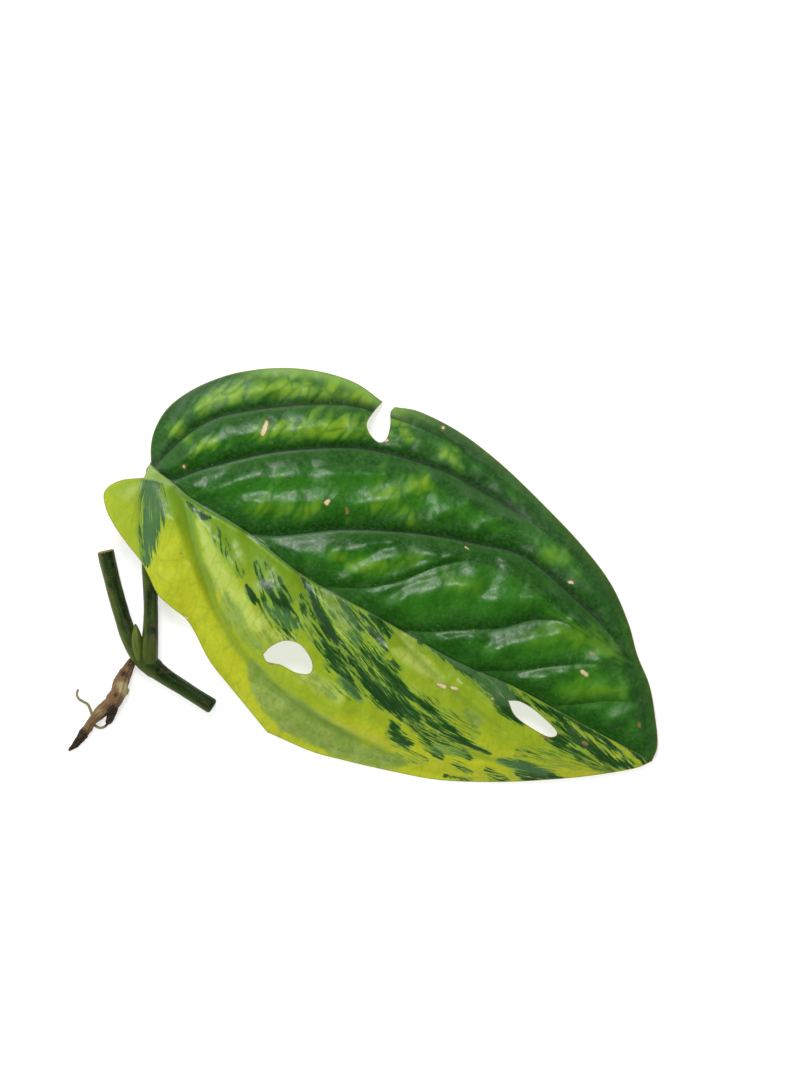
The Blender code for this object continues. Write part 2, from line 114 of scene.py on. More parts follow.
# Main veins from the midrib outwards, those of each half in order from the base to the tip
UPPER_VEINS = [
    [(1.0, 3.0), (3.5, 11.5), (7.5, 19.0), (14.0, 25.0), (23.5, 32.0), (34.0, 38.0),
     (44.0, 40.5), (53.5, 42.0), (64.5, 42.6), (73.0, 43.0)],
    [(2.8, 0.6), (6.5, 1.8), (10.5, 6.5), (17.5, 13.5), (25.0, 20.0), (37.0, 28.0),
     (46.0, 32.0), (60.5, 35.5), (71.5, 36.0), (83.0, 35.5), (93.0, 34.5), (104.5, 32.0),
     (113.0, 28.0)],
    [(28.0, -0.8), (35.0, 2.5), (47.0, 11.0), (59.5, 17.5), (69.0, 21.5), (78.0, 24.5),
     (86.0, 27.0), (93.5, 26.8), (103.0, 24.8), (112.5, 22.5), (120.5, 19.0), (127.5, 14.0)],
    [(50.0, -3.0), (56.0, 0.0), (60.0, 2.5), (65.5, 7.5), (72.0, 15.5), (78.5, 20.5),
     (86.5, 22.0), (94.0, 21.5), (102.0, 20.5)],
    [(71.5, -2.7), (78.0, 0.5), (84.0, 4.5), (92.0, 9.5), (97.0, 14.5), (103.0, 18.0),
     (110.0, 18.5)],
    [(92.5, -2.0), (101.0, 3.0), (109.0, 9.0), (116.0, 13.5), (121.0, 15.5)],
    [(112.0, -0.7), (118.0, 3.5), (124.5, 8.0), (130.0, 10.5)],
]
LOWER_VEINS = [
    [(0.6, -1.2), (1.5, -4.0), (4.0, -10.5), (9.5, -18.0)],
    [(8.1, -0.2), (12.0, -2.5), (17.5, -8.5), (25.0, -15.5), (31.0, -20.5), (39.5, -25.5),
     (48.5, -28.8), (58.0, -30.8), (68.0, -31.3), (78.5, -30.5), (88.5, -29.0)],
    [(44.0, -3.1), (48.5, -6.5), (57.0, -11.5), (65.5, -14.5), (74.5, -18.0), (85.0, -21.0),
     (95.5, -20.8), (105.5, -19.0), (115.0, -15.8), (123.0, -12.0)],
    [(67.5, -2.7), (75.5, -5.5), (85.5, -8.0), (94.5, -9.8), (104.0, -11.0), (115.0, -10.8),
     (125.0, -9.0)],
    [(108.0, -0.8), (117.0, -2.6), (125.0, -4.8), (131.0, -5.8)],
]

# How deep each vein is sunk, as a share of the deepest
UPPER_STRENGTHS = (0.9, 1.0, 1.0, 0.45, 0.6, 0.45, 0.4)
LOWER_STRENGTHS = (0.7, 1.0, 0.85, 0.6, 0.4)
# Where along the leaf each vein starts to fade, and where it is gone
UPPER_FADES = ((44, 62), (74, 98), (108, 130), (72, 92), (98, 112), (106, 124), (118, 134))
LOWER_FADES = ((20, 40), (74, 96), (98, 125), (98, 125), (118, 134))

# Height of the upper face above the surface, as (along the leaf, height)
MIDRIB_HEIGHT = [
    (-8.0, 8.6), (0.0, 8.6), (20.0, 9.4), (45.0, 9.6), (75.0, 8.8), (105.0, 6.3),
    (125.0, 3.8), (140.0, 1.9),
]
UPPER_EDGE_HEIGHT = [
    (-8.0, 7.2), (5.0, 5.8), (25.0, 3.0), (45.0, 0.6), (58.0, -0.9), (76.0, -0.9),
    (95.0, 1.0), (120.0, 2.4), (140.0, 1.7),
]
LOWER_EDGE_HEIGHT = [
    (-8.0, 6.8), (5.0, 7.0), (18.0, 6.6), (35.0, 4.2), (55.0, 1.2), (72.0, -0.9),
    (92.0, -0.9), (110.0, 1.0), (128.0, 1.7), (140.0, 1.7),
]
CROWN_HEIGHT = 1.7
CROWN_FULL_WIDTH = 30.0
SWELL_WIDTH = 4.5
RIPPLE_HEIGHT = 0.28
RIPPLE_LENGTHS = (10.5, 14.0)
# Depth and width of the furrows, and of what stands out underneath them
MIDRIB_GROOVE = (0.6, 1.6)
VEIN_FURROW = (0.75, 1.5)
VEIN_CREASE = (0.22, 0.9)
VEIN_RIDGE = (0.4, 0.8)
RIB_DEPTHS = (1.9, 0.2)
RIB_WIDTH = 1.3
# How far the pale midrib stands up, as (along the leaf, height)
RIB_RISE = [(0, 0.75), (20, 0.5), (60, 0.3), (140, 0.2)]
# Half the width of the pale midrib, as (along the leaf, half width)
RIB_HALF_WIDTH = [
    (-1.0, 2.3), (2.0, 1.35), (4.4, 0.8), (10.0, 0.5), (17.5, 0.4), (45.0, 0.3), (140.0, 0.14),
]

# Ridges pressed up between the veins, in the photograph's pixels, as (right, down, half width)
RIDGES = [
    [(214, 490, 7), (240, 482, 9), (262, 478, 9), (300, 477, 9), (340, 473, 8), (385, 474, 7)],
    [(246, 503, 7), (285, 505, 9), (320, 502, 9), (360, 502, 9), (395, 499, 9), (415, 490, 10),
     (430, 480, 8)],
    [(334, 552, 7), (352, 551, 9), (372, 543, 8), (392, 540, 6)],
    [(344, 580, 6), (358, 573, 8), (378, 562, 9), (400, 556, 9), (422, 552, 8), (436, 556, 6)],
    [(386, 588, 6), (402, 579, 8), (418, 573, 9), (434, 566, 9), (452, 556, 8)],
    [(392, 606, 7), (410, 594, 9), (430, 589, 10), (452, 586, 10), (476, 586, 8)],
    [(440, 514, 7), (456, 507, 9), (472, 498, 7)],
    [(478, 530, 7), (494, 518, 9), (512, 515, 8), (530, 522, 6)],
    [(486, 600, 8), (512, 598, 9), (540, 597, 9), (556, 594, 6)],
    [(448, 638, 7), (466, 632, 9), (480, 636, 7)],
    [(496, 650, 7), (516, 645, 9), (536, 640, 10), (556, 631, 9), (572, 620, 6)],
    [(520, 680, 6), (546, 676, 9), (580, 669, 9), (604, 661, 8), (620, 650, 6)],
    [(590, 728, 6), (612, 720, 8), (630, 712, 8), (642, 702, 5)],
    [(162, 572, 5), (176, 598, 7), (196, 628, 8), (216, 662, 8), (240, 694, 7)],
    [(176, 520, 6), (192, 560, 8), (212, 600, 9), (236, 634, 8)],
    [(222, 540, 6), (236, 572, 8), (252, 604, 8), (262, 628, 6)],
    [(388, 648, 6), (410, 655, 8), (432, 672, 8)],
    [(462, 684, 5), (480, 694, 7), (498, 708, 6)],
    [(300, 704, 6), (340, 722, 9), (380, 738, 8)],
]

# Dark green strokes on the yellow half, solid in the middle, as (right, down, half width)
DARK_STROKES = [
    [(304, 577, 2), (312, 592, 4), (320, 610, 6), (327, 626, 6), (337, 644, 6), (351, 661, 5),
     (364, 677, 7), (380, 692, 11), (396, 703, 11), (412, 713, 6), (428, 722, 4), (446, 733, 4),
     (462, 740, 4), (476, 747, 3), (490, 753, 1.5)],
    [(316, 640, 2), (326, 646, 5), (336, 658, 8), (344, 672, 7), (352, 686, 6), (360, 697, 2)],
    [(257, 562, 2), (262, 577, 4), (272, 595, 6), (284, 607, 6), (292, 618, 5), (298, 627, 2)],
    [(247, 586, 1.5), (252, 594, 3), (257, 603, 1.5)],
    [(359, 611, 1), (368, 622, 5), (378, 636, 6), (385, 649, 3)],
    [(369, 613, 1), (379, 622, 4), (387, 634, 4), (390, 641, 1)],
    [(352, 640, 2), (366, 652, 4), (380, 664, 5), (394, 678, 5), (408, 694, 5), (424, 704, 5),
     (438, 716, 4), (452, 730, 3)],
    [(405, 708, 4), (398, 720, 5), (394, 730, 6), (402, 740, 6), (412, 743, 2)],
    [(418, 641, 1.5), (440, 652, 4), (460, 663, 6), (480, 675, 9), (498, 688, 11), (512, 698, 8),
     (534, 704, 4), (560, 716, 4), (590, 731, 4), (618, 747, 5), (640, 759, 5), (652, 763, 2)],
    [(490, 692, 2), (502, 704, 6), (514, 718, 4), (524, 726, 1)],
    [(546, 736, 3), (560, 741, 8), (577, 747, 7), (594, 754, 6), (612, 761, 6), (632, 766, 3)],
    [(556, 722, 3), (570, 732, 5), (586, 744, 5), (602, 755, 5)],
    [(498, 759, 1.5), (514, 763, 4), (530, 769, 7), (546, 775, 5), (562, 779, 2)],
    [(516, 773, 1.5), (524, 778, 3), (534, 780, 2)],
    [(189, 502, 1), (199, 512, 3), (206, 517, 3), (212, 518, 1)],
    [(153, 481, 9), (154, 498, 10), (155, 511, 11), (152, 530, 9), (150, 546, 7), (149, 558, 4),
     (149, 567, 1)],
    [(336, 597, 1), (344, 606, 4), (352, 615, 5), (360, 628, 3)],
]
# Streaky, half broken strokes
BROKEN_STROKES = [
    [(262, 556, 2), (268, 570, 4), (280, 588, 5), (292, 600, 3)],
    [(262, 600, 3), (275, 617, 5), (288, 636, 4)],
    [(303, 596, 3), (308, 612, 5), (314, 628, 6), (322, 646, 5)],
    [(350, 634, 4), (364, 652, 7), (384, 672, 8), (402, 690, 6)],
    [(372, 640, 4), (384, 655, 5), (396, 668, 4)],
    [(408, 714, 6), (420, 726, 7), (436, 736, 5), (456, 744, 3)],
    [(420, 738, 2), (432, 748, 4), (442, 757, 2)],
    [(446, 738, 3), (458, 748, 4), (470, 758, 2)],
    [(454, 762, 2), (462, 768, 3), (472, 772, 1.5)],
    [(486, 770, 2), (494, 776, 4), (504, 780, 3)],
    [(446, 776, 2), (458, 779, 2), (470, 780, 2)],
    [(576, 756, 2), (594, 766, 3), (612, 770, 3)],
]
# Faint, thinly spread strokes
FAINT_STROKES = [
    [(216, 530, 3), (228, 552, 4), (240, 572, 4)],
    [(322, 590, 4), (336, 610, 11), (350, 632, 11), (364, 652, 8)],
    [(328, 650, 4), (340, 676, 6), (350, 694, 4)],
    [(430, 700, 4), (450, 716, 5), (474, 732, 4)],
    [(520, 752, 4), (556, 760, 5), (600, 764, 4)],
    [(286, 640, 3), (300, 634, 3)],
    [(400, 750, 3), (412, 756, 4), (424, 760, 3)],
]
# Yellow strokes that split the green ones
YELLOW_STROKES = [
    [(338, 641, 1), (344, 651, 2.5), (349, 661, 1)],
    [(352, 672, 1.5), (364, 690, 4), (378, 708, 4), (388, 722, 1.5)],
    [(360, 622, 1), (366, 634, 2.5), (378, 646, 3), (390, 657, 2)],
    [(382, 628, 1), (390, 645, 2)],
    [(563, 716, 1), (580, 730, 3), (596, 741, 4), (609, 751, 1.5)],
    [(612, 741, 1), (625, 752, 3.5), (640, 762, 1.5)],
    [(566, 744, 1), (584, 750, 2), (597, 761, 2)],
    [(508, 686, 1), (525, 698, 1.5), (537, 709, 1)],
    [(391, 716, 3), (397, 721, 3)],
    [(420, 720, 1), (430, 729, 2.5), (438, 733, 1)],
]
# Grey-green patches under the strokes
SAGE_PATCHES = [
    [(254, 664, 6), (266, 690, 13), (292, 714, 17), (326, 736, 15), (362, 754, 12), (396, 762, 8)],
    [(268, 606, 6), (286, 618, 7), (297, 628, 3)],
    [(320, 588, 3), (338, 610, 9), (352, 630, 8), (358, 646, 4)],
    [(340, 678, 4), (352, 690, 6), (362, 700, 3)],
    [(498, 760, 3), (520, 766, 6), (545, 772, 4)],
    [(480, 676, 8), (498, 690, 11), (510, 700, 6)],
    [(428, 645, 3), (448, 656, 5), (470, 668, 6)],
    [(153, 484, 8), (154, 500, 10), (155, 511, 11), (152, 530, 9), (150, 546, 6), (149, 562, 3)],
    [(466, 712, 5), (476, 720, 6)],
    [(436, 748, 5), (462, 752, 5)],
]
# Grey-green patches with soft edges
SOFT_PATCHES = [
    [(206, 566, 3), (222, 598, 7), (240, 622, 10), (262, 642, 9), (282, 656, 5)],
    [(300, 672, 4), (316, 682, 6), (336, 694, 5)],
]
# Pale, faintly speckled patches between the veins of the yellow half
PALE_PATCHES = [
    [(200, 522, 4), (210, 550, 8), (226, 584, 12), (248, 612, 13), (268, 632, 8)],
    [(318, 588, 4), (336, 612, 10), (350, 636, 7)],
    [(396, 650, 6), (420, 664, 9), (440, 678, 6)],
    [(262, 628, 5), (276, 634, 7), (292, 636, 5)],
    [(306, 676, 8), (340, 694, 9)],
]
# Duller lime patches of the yellow half
LIME_PATCHES = [
    [(120, 494, 12), (124, 512, 16), (134, 534, 12), (142, 556, 7)],
    [(172, 500, 6), (186, 520, 9), (200, 550, 9), (214, 584, 8)],
    [(200, 510, 8), (230, 545, 14), (262, 588, 12), (288, 612, 8)],
    [(300, 668, 8), (340, 694, 14), (380, 716, 8)],
    [(232, 604, 8), (248, 634, 10), (266, 660, 9), (296, 690, 9), (330, 710, 8)],
    [(400, 648, 6), (440, 676, 9), (480, 716, 14), (530, 742, 14), (590, 756, 8)],
]
# Yellow-green blotches in the upper half
GLOW_BLOTCHES = [
    [(200, 408, 7), (228, 396, 9), (262, 390, 11), (300, 389, 13), (345, 393, 14), (372, 402, 8)],
    [(178, 430, 7), (190, 442, 6)],
    [(200, 450, 8), (214, 444, 6)],
    [(266, 434, 8), (300, 430, 11), (340, 424, 13), (366, 428, 8)],
    [(252, 508, 8), (284, 510, 9), (320, 508, 6)],
    [(376, 500, 9), (404, 490, 12), (426, 484, 8)],
    [(394, 412, 12), (408, 436, 9)],
    [(446, 454, 9), (460, 466, 5)],
    [(548, 556, 9), (566, 560, 7)],
    [(452, 580, 9), (476, 588, 7)],
    [(534, 640, 10), (556, 632, 10), (590, 640, 11), (612, 652, 8)],
    [(560, 692, 9), (590, 690, 10), (620, 690, 8)],
    [(340, 558, 7), (362, 566, 7), (392, 566, 7), (418, 556, 7)],
    [(404, 506, 8), (412, 522, 7)],
]
# Small scars, as (right, down, half width)
SCARS = [
    [(267.5, 423, 2.2), (266, 429, 2.2), (263.5, 435, 2.4)], [(185, 467, 1.8), (185.5, 467.5, 1.8)],
    [(329, 501.5, 2.2), (327, 503.5, 2.4)], [(443, 427.5, 1.6), (443.5, 428.5, 1.6)],
    [(464.5, 547, 0.8), (467.5, 549, 1.2)], [(569, 582, 1.8), (571.5, 582.5, 1.8)],
    [(580.5, 670.5, 1.8), (585.5, 674.5, 2.2)], [(437.5, 683, 1.7), (444.5, 686, 1.7)],
    [(451.5, 687, 1.6), (456.5, 688, 1.6)], [(490.5, 697.5, 1.0), (493, 698.5, 1.2)],
    [(385, 439.5, 2.0), (386.5, 440.5, 2.0)], [(186, 617, 1.2), (188, 618, 1.2)],
]
BROWN_SPOTS = [
    [(347, 509, 1.9), (347.5, 513, 1.9)], [(591, 653, 2.2), (591.5, 653.5, 2.2)],
    [(638, 724, 2.2), (638.5, 725, 2.2)], [(583, 742, 2.2), (586, 743.5, 2.0)],
    [(271, 662, 2.4), (273, 663, 2.2)], [(182, 553, 1.6), (183, 553.5, 1.6)],
    [(153, 761, 1.0), (154, 761, 1.0)], [(655, 763, 2.2), (650, 764, 1.5)],
    [(143, 539, 1.0), (143.5, 542, 1.0)], [(547, 736, 2.2), (540, 735, 1.6)],
]

# Stem through its node, from the upper cut end to the lower one, as (x, y, radius)
STEM_LINE = [
    (-10.3, -19.1, 2.05), (-8.9, -25.3, 1.95), (-7.0, -32.3, 1.95), (-4.8, -39.1, 2.05),
    (-2.4, -43.4, 2.35), (0.2, -46.1, 2.5), (3.9, -49.0, 2.05), (8.7, -52.1, 1.85),
    (15.0, -56.1, 1.85),
]
# Where along the stem its node lies
NODE_ALONG = 29.0
# Stalk from the node to the knee under the leaf base, as (x, y, height of its axis, radius)
PETIOLE_LINE = [
    (0.1, -46.0, 2.9, 2.3), (0.2, -42.0, 3.1, 2.15), (0.5, -38.5, 3.0, 1.9),
    (0.6, -34.0, 2.9, 1.75), (0.5, -29.0, 2.8, 1.75), (0.1, -23.0, 2.8, 1.7),
    (0.1, -16.0, 2.8, 1.7), (0.4, -9.5, 2.8, 1.75), (0.9, -5.0, 2.85, 1.8),
]
KNEE_CENTRE = (1.4, -2.1, 5.2)
KNEE_RADIUS = 2.35
KNEE_TUBE_RADIUS = 1.85
KNEE_TOP = 6.4
KNEE_TURNS = (-90, -68, -46, -24, 0)

BUD_CENTRE = (-2.6, -41.0, 4.2)
BUD_HALF_SIZE = (1.35, 4.7, 1.2)
BUD_LEAN = math.radians(6.0)

# Aerial root and what branches from it, as (x, y, radius)
ROOT_LINE = [
    (-2.6, -44.2, 0.9), (-3.9, -45.4, 1.0), (-5.1, -47.4, 1.35), (-6.4, -50.0, 1.85),
    (-7.2, -52.6, 1.95), (-8.7, -55.3, 1.9), (-11.1, -57.4, 1.6), (-13.3, -59.6, 1.1),
    (-15.0, -62.0, 1.1), (-16.7, -64.4, 0.95), (-18.2, -66.0, 0.6), (-19.2, -66.9, 0.3),
]
SIDE_ROOT_LINE = [
    (-8.2, -54.4, 1.0), (-8.5, -56.6, 1.15), (-9.2, -58.9, 0.95), (-9.9, -60.4, 0.5),
]
ROOT_BUMP_LINE = [(-7.0, -51.8, 0.9), (-5.9, -52.5, 1.15), (-5.2, -53.0, 0.8)]
LOOP_ROOTLET_LINE = [
    (-9.6, -60.0, 0.35), (-10.6, -61.2, 0.32), (-11.8, -61.5, 0.32), (-13.0, -60.9, 0.32),
    (-13.7, -59.6, 0.3),
]
CURLED_ROOTLET_LINE = [
    (-13.5, -58.9, 0.4), (-14.1, -57.2, 0.36), (-14.7, -55.9, 0.34), (-15.8, -55.2, 0.32),
    (-16.9, -54.5, 0.3), (-17.4, -53.3, 0.28), (-17.1, -52.3, 0.25),
]
BRANCH_LIFT = 0.1
# Where the root is darker or paler, as (place, reach, weight), dark below zero
ROOT_TONES = [
    ((-18.6, -66.2), 3.8, -1.3), ((-16.2, -63.6), 2.2, -0.9), ((-9.4, -59.4), 2.1, -1.3),
    ((-8.6, -57.0), 1.5, -0.9), ((-6.0, -48.6), 0.9, -0.9), ((-7.7, -53.6), 0.8, -0.9),
    ((-5.4, -52.4), 1.6, 1.3), ((-11.4, -57.6), 1.6, 0.5), ((-15.0, -61.0), 0.8, 0.3),
    ((-4.2, -45.8), 1.6, -0.6), ((-6.8, -50.8), 1.0, 0.5),
]

# Ways to close a tube, as (step outwards, share of the radius)
CUT_END = [(0.16, 0.97), (0.32, 0.88), (0.42, 0.74), (0.4, 0.5), (0.34, 0.25), (0.33, 0.0)]
WORN_END = [
    (0.14, 0.99), (0.36, 0.94), (0.54, 0.85), (0.66, 0.72), (0.71, 0.5), (0.69, 0.25), (0.67, 0.0),
]
POINT_END = [(0.12, 0.75), (0.2, 0.4), (0.24, 0.0)]
BLIND_END = [(0.05, 0.6), (0.08, 0.0)]

# Softboxes, as (name, place in metres, size in metres, whether gloss shows it)
SOFTBOXES = [
    ("key softbox", (-0.14, 0.57, 0.76), 0.38, True),
    ("fill softbox", (-0.58, -0.52, 0.5), 0.5, False),
    ("side softbox", (-0.85, -0.05, 0.6), 0.28, True),
]
# Noise cells to a metre, from broad mottling to the finest grain
MOTTLE_SCALE = 260.0
SPECK_SCALE = 560.0
LEATHER_SCALE = 1100.0
PORE_SCALE = 1250.0
FINE_SCALE = 2600.0
# How deep the relief of each finish is, in metres
NET_DEPTH = 0.00009
LUMP_DEPTH = 0.0003
LEATHER_DEPTH = 0.00006
FINE_DEPTH = 0.00002
STEM_DEPTH = 0.00005
BARK_DEPTH = 0.00012
BARK_STREAK_DEPTH = 0.0004

# The point of the floor under the camera, in metres
CAMERA_PLACE = (0.0089, 0.0103)
FLOOR_SIZE = 6.0
FLOOR_DROP = 0.00005
SENSOR = 24.0
WHITE = (1.0, 1.0, 1.0, 1.0)


def linear(red, green, blue):
    """A screen colour, from 0 to 255, as the light that it stands for."""
    shares = [value / 255 for value in (red, green, blue)]
    return [s / 12.92 if s <= 0.04045 else ((s + 0.055) / 1.055) ** 2.4 for s in shares]


def tint(name, description, red, green, blue):
    """A colour that the user can change."""
    return FloatVectorProperty(
        name=name, description=description, subtype="COLOR", size=3, min=0.0, max=1.0,
        default=linear(red, green, blue),
    )


def length(name, description, metres):
    """A length that the user can change."""
    return FloatProperty(
        name=name, description=description, subtype="DISTANCE", unit="LENGTH", min=0.0,
        default=metres, precision=5,
    )


def power(name, description, watts):
    """A light's power that the user can change."""
    return FloatProperty(name=name, description=description, unit="POWER", min=0.0, default=watts)


class LeafSettings(PropertyGroup):
    cell: length("Cell", "Distance between the points of the blade's surface", 0.00045)
    thickness: length("Thickness", "Thickness of the blade between its veins", 0.0007)
    rim: length("Rim", "Thickness of the blade at its margin", 0.00032)
    swelling: length("Swelling", "How far the blade swells between its veins", 0.0011)
    ridge: length("Ridge", "Height of the ridges pressed up between the veins", 0.00085)
    quilting: length("Quilting", "Height of the puckers between the side veins", 0.00034)
    crinkle: length("Crinkle", "Height of the fine crinkles", 0.00015)
    # Deep green and mid green are mixed by the swelling: partly the leaf's own tone, partly painted
    # shade in the furrows and painted light on the swellings
    deep_green: tint("Deep green", "Green half in its furrows", 20, 78, 8)
    mid_green: tint("Mid green", "Green half on its swellings", 44, 116, 12)
    glow_green: tint("Glow green", "Yellow-green blotches of the green half", 140, 176, 18)
    grass: tint("Grass", "Greener zone of the yellow half along the midrib", 112, 154, 24)
    lime: tint("Lime", "Yellow half between its veins", 148, 170, 20)
    yellow: tint("Yellow", "Yellow half towards its margin", 184, 190, 13)
    pale: tint("Pale", "Pale speckled patches of the yellow half", 194, 208, 100)
    pale_dots: tint("Pale dots", "Speckle of the pale patches", 140, 176, 76)
    # Darker along the vein furrows of the yellow half: partly the veins' own colour, partly painted
    # shade
    crease_yellow: tint("Crease yellow", "Vein furrows of the yellow half", 100, 136, 26)
    sage: tint("Sage", "Grey-green patches", 120, 150, 58)
    cloud: tint("Cloud", "Mottling of the grey-green patches", 104, 138, 44)
    pale_cloud: tint("Pale cloud", "Paler mottling of the grey-green patches", 150, 172, 92)
    dark_cloud: tint("Dark cloud", "Dark speckle of the grey-green patches", 78, 118, 42)
    streak: tint("Streak", "Dark green strokes on the yellow half", 26, 70, 18)
    streak_halo: tint("Streak halo", "Thin green round the strokes", 104, 146, 60)
    sage_streak: tint("Sage streak", "Strokes on the grey-green patches", 74, 114, 66)
    frayed_streak: tint("Frayed streak", "Frayed sides of the strokes", 70, 122, 36)
    # Strokes darker along the vein furrows: partly the veins' own colour, partly painted shade
    furrow_streak: tint("Furrow streak", "Strokes where a vein crosses them", 22, 58, 18)
    fresh_green: tint("Fresh green", "Patches round the blotches", 76, 146, 16)
    # Painted shade on the green half just before each vein, on the slope turned away from the key
    # light
    painted_foot_shade: tint("Foot green", "Green half just before each vein", 14, 60, 8)
    hollow_green: tint("Hollow green", "Shaded hollow beside each vein", 10, 50, 6)
    # Painted sheen: reflected light on the slope just behind each vein, given as a grey-green colour
    painted_sheen_green: tint("Slope green", "Bloom on the slope behind each vein", 62, 116, 46)
    rim_green: tint("Rim green", "Green half along its margin", 138, 182, 78)
    speckle_green: tint("Speckle green", "Fine speckle of the green half", 90, 146, 44)
    # Painted shade in the sharp creases of the veins, deepest on the side before each vein
    painted_crease_shade: tint("Crease green", "Sharp creases of the green half", 12, 48, 6)
    # Painted shadow: the dark line along the green side of the midrib
    painted_rib_shadow: tint("Beside rib", "Dark line beside the midrib", 14, 48, 10)
    rib: tint("Rib", "Pale midrib at the leaf base", 140, 170, 80)
    far_rib: tint("Far rib", "Midrib away from the leaf base", 84, 126, 44)
    underside: tint("Underside", "Bloom of the lower face", 168, 184, 120)
    scar: tint("Scar", "Healed scars", 214, 196, 158)
    brown: tint("Brown", "Brown spots", 152, 112, 62)
    specks: tint("Specks", "Pale specks over the whole blade", 186, 204, 150)
    dry_margin: tint("Dry margin", "Dry line along the margin", 132, 116, 50)


class StalkSettings(PropertyGroup):
    sides: IntProperty(name="Sides", description="Points round the stalk and stem", default=96, min=12)
    skin: tint("Skin", "Stalk and stem", 33, 60, 15)
    shade: tint("Shade", "Darker streaks of the stalk and stem", 16, 33, 8)
    # Olive is the bud's own colour, and also the painted reflection on one flank of the stalk and stem
    olive: tint("Olive", "Bud and the stem's lighter flank", 96, 110, 36)
    tinge: tint("Tinge", "Brownish tinges on the stem", 84, 68, 42)
    lenticels: tint("Lenticels", "Fine pale pores", 142, 140, 92)
    callus: tint("Callus", "Dried cut ends", 186, 158, 114)
    bundles: tint("Bundles", "Fibre bundles in the cut end", 128, 98, 58)
    cut_rim: tint("Cut rim", "Rim of the cut end", 122, 112, 62)
    cut_edge: tint("Cut edge", "Darker skin at both ends of the stem", 46, 58, 30)
    upper_stalk: tint("Upper stalk", "Stalk towards its knee", 96, 126, 40)
    knee: tint("Knee", "Stalk at its knee", 116, 142, 60)


class RootSettings(PropertyGroup):
    sides: IntProperty(name="Sides", description="Points round the root", default=72, min=12)
    bark: tint("Bark", "Root bark", 116, 88, 58)
    tan: tint("Tan", "Paler papery bark", 170, 156, 112)
    dark: tint("Dark", "Dark tips and smudges", 46, 33, 20)
    thread: tint("Thread", "Thin greenish rootlets", 134, 136, 96)
    flecks: tint("Flecks", "Pale flecks of the bark", 196, 182, 146)


class StageSettings(PropertyGroup):
    floor: tint("Floor", "Floor under the cutting", 208, 208, 206)
    glow: FloatProperty(name="Glow", description="Light that the floor gives off", default=0.6)
    key: power("Key", "Power of the main softbox", 6.2)
    fill: power("Fill", "Power of the fill softbox", 3.2)
    side: power("Side", "Power of the side softbox", 0.9)
    sky: FloatProperty(name="Sky", description="Strength of the even light", default=0.36)
    camera_height: length("Camera height", "Height of the camera over the floor", 1.5)
    field: length("Field", "Height of the floor that the picture shows", 0.257)


def travelled_along(places):
    """How far along a line each of its points lies."""
    return np.concatenate([[0], np.cumsum(np.linalg.norm(np.diff(places, axis=0), axis=1))])


def through(points, spacing):
    """Points about spacing apart on a smooth curve through the points given."""
    placed = np.array(points, float)
    padded = np.vstack([2 * placed[0] - placed[1], placed, 2 * placed[-1] - placed[-2]])
    t = np.linspace(0, 1, 12, endpoint=False)[:, None]
    spans = []
    for a, b, c, d in zip(padded, padded[1:], padded[2:], padded[3:]):
        bend = (2 * a - 5 * b + 4 * c - d) * t**2 + (3 * b - a - 3 * c + d) * t**3
        spans.append(b + 0.5 * ((c - a) * t + bend))
    fine = np.vstack(spans + [placed[-1:]])
    travelled = travelled_along(fine)
    stations = np.linspace(0, travelled[-1], max(2, round(travelled[-1] / spacing) + 1))
    return np.column_stack([np.interp(stations, travelled, column) for column in fine.T])


def profile(points, along):
    """The value of a smooth curve through (along, value) points."""
    curve = through(points, 0.5)
    return np.interp(along, curve[:, 0], curve[:, 1])


def joined(runs, spacing):
    """One closed loop from runs that meet at corners."""
    return np.vstack([through(run, spacing)[:-1] for run in runs])


def closed(loop):
    """A loop with its first point repeated at its end."""
    return np.vstack([loop, loop[:1]])


def distance_to(line, spots):
    """How far each spot lies from a line of points, and on which side of it: left is above zero."""
    nearest = np.full(len(spots), np.inf)
    side = np.ones(len(spots))
    for start, run in zip(line, np.diff(line, axis=0)):
        away = spots - start
        t = np.clip(away @ run / (run @ run), 0, 1)
        gap = np.linalg.norm(away - t[:, None] * run, axis=1)
        closer = gap < nearest
        nearest[closer] = gap[closer]
        side[closer] = np.sign(run[0] * away[closer, 1] - run[1] * away[closer, 0])
    return nearest, side


def bell(distance, width):
    """One on a line, falling smoothly to nothing a few widths away."""
    return np.exp(-((distance / width) ** 2))


def wrapped(angle):
    """An angle, brought to within half a turn of zero."""
    return np.angle(np.exp(1j * angle))


def on_leaf(marks):
    """Marks in the photograph's pixels, as places and half widths on the leaf's own axes."""
    marks = np.array(marks, float)
    right, down = marks[:, 0] - BASE_PIXEL[0], marks[:, 1] - BASE_PIXEL[1]
    cos, sin = math.cos(-LEAF_TURN), math.sin(-LEAF_TURN)
    return PIXEL * np.column_stack([right * cos + down * sin, right * sin - down * cos, marks[:, 2]])


def stroke_field(strokes, spots, edge=math.inf):
    """How deep each spot lies in the strokes: one on a stroke's line, or past the edge given."""
    field = np.full(len(spots), -1.0)
    for stroke in strokes:
        line = through(on_leaf(stroke), 1.0)
        reach = 2.2 * line[:, 2].max()
        low, high = line[:, :2].min(axis=0) - reach, line[:, :2].max(axis=0) + reach
        near = np.flatnonzero(np.all((spots > low) & (spots < high), axis=1))
        for start, run in zip(line, np.diff(line, axis=0)):
            away = spots[near] - start[:2]
            t = np.clip(away @ run[:2] / (run[:2] @ run[:2] + 1e-9), 0, 1)
            gap = np.linalg.norm(away - t[:, None] * run[:2], axis=1)
            half = start[2] + t * run[2]
            field[near] = np.maximum(field[near], np.minimum(1, (half - gap) / np.minimum(half, edge)))
    return field


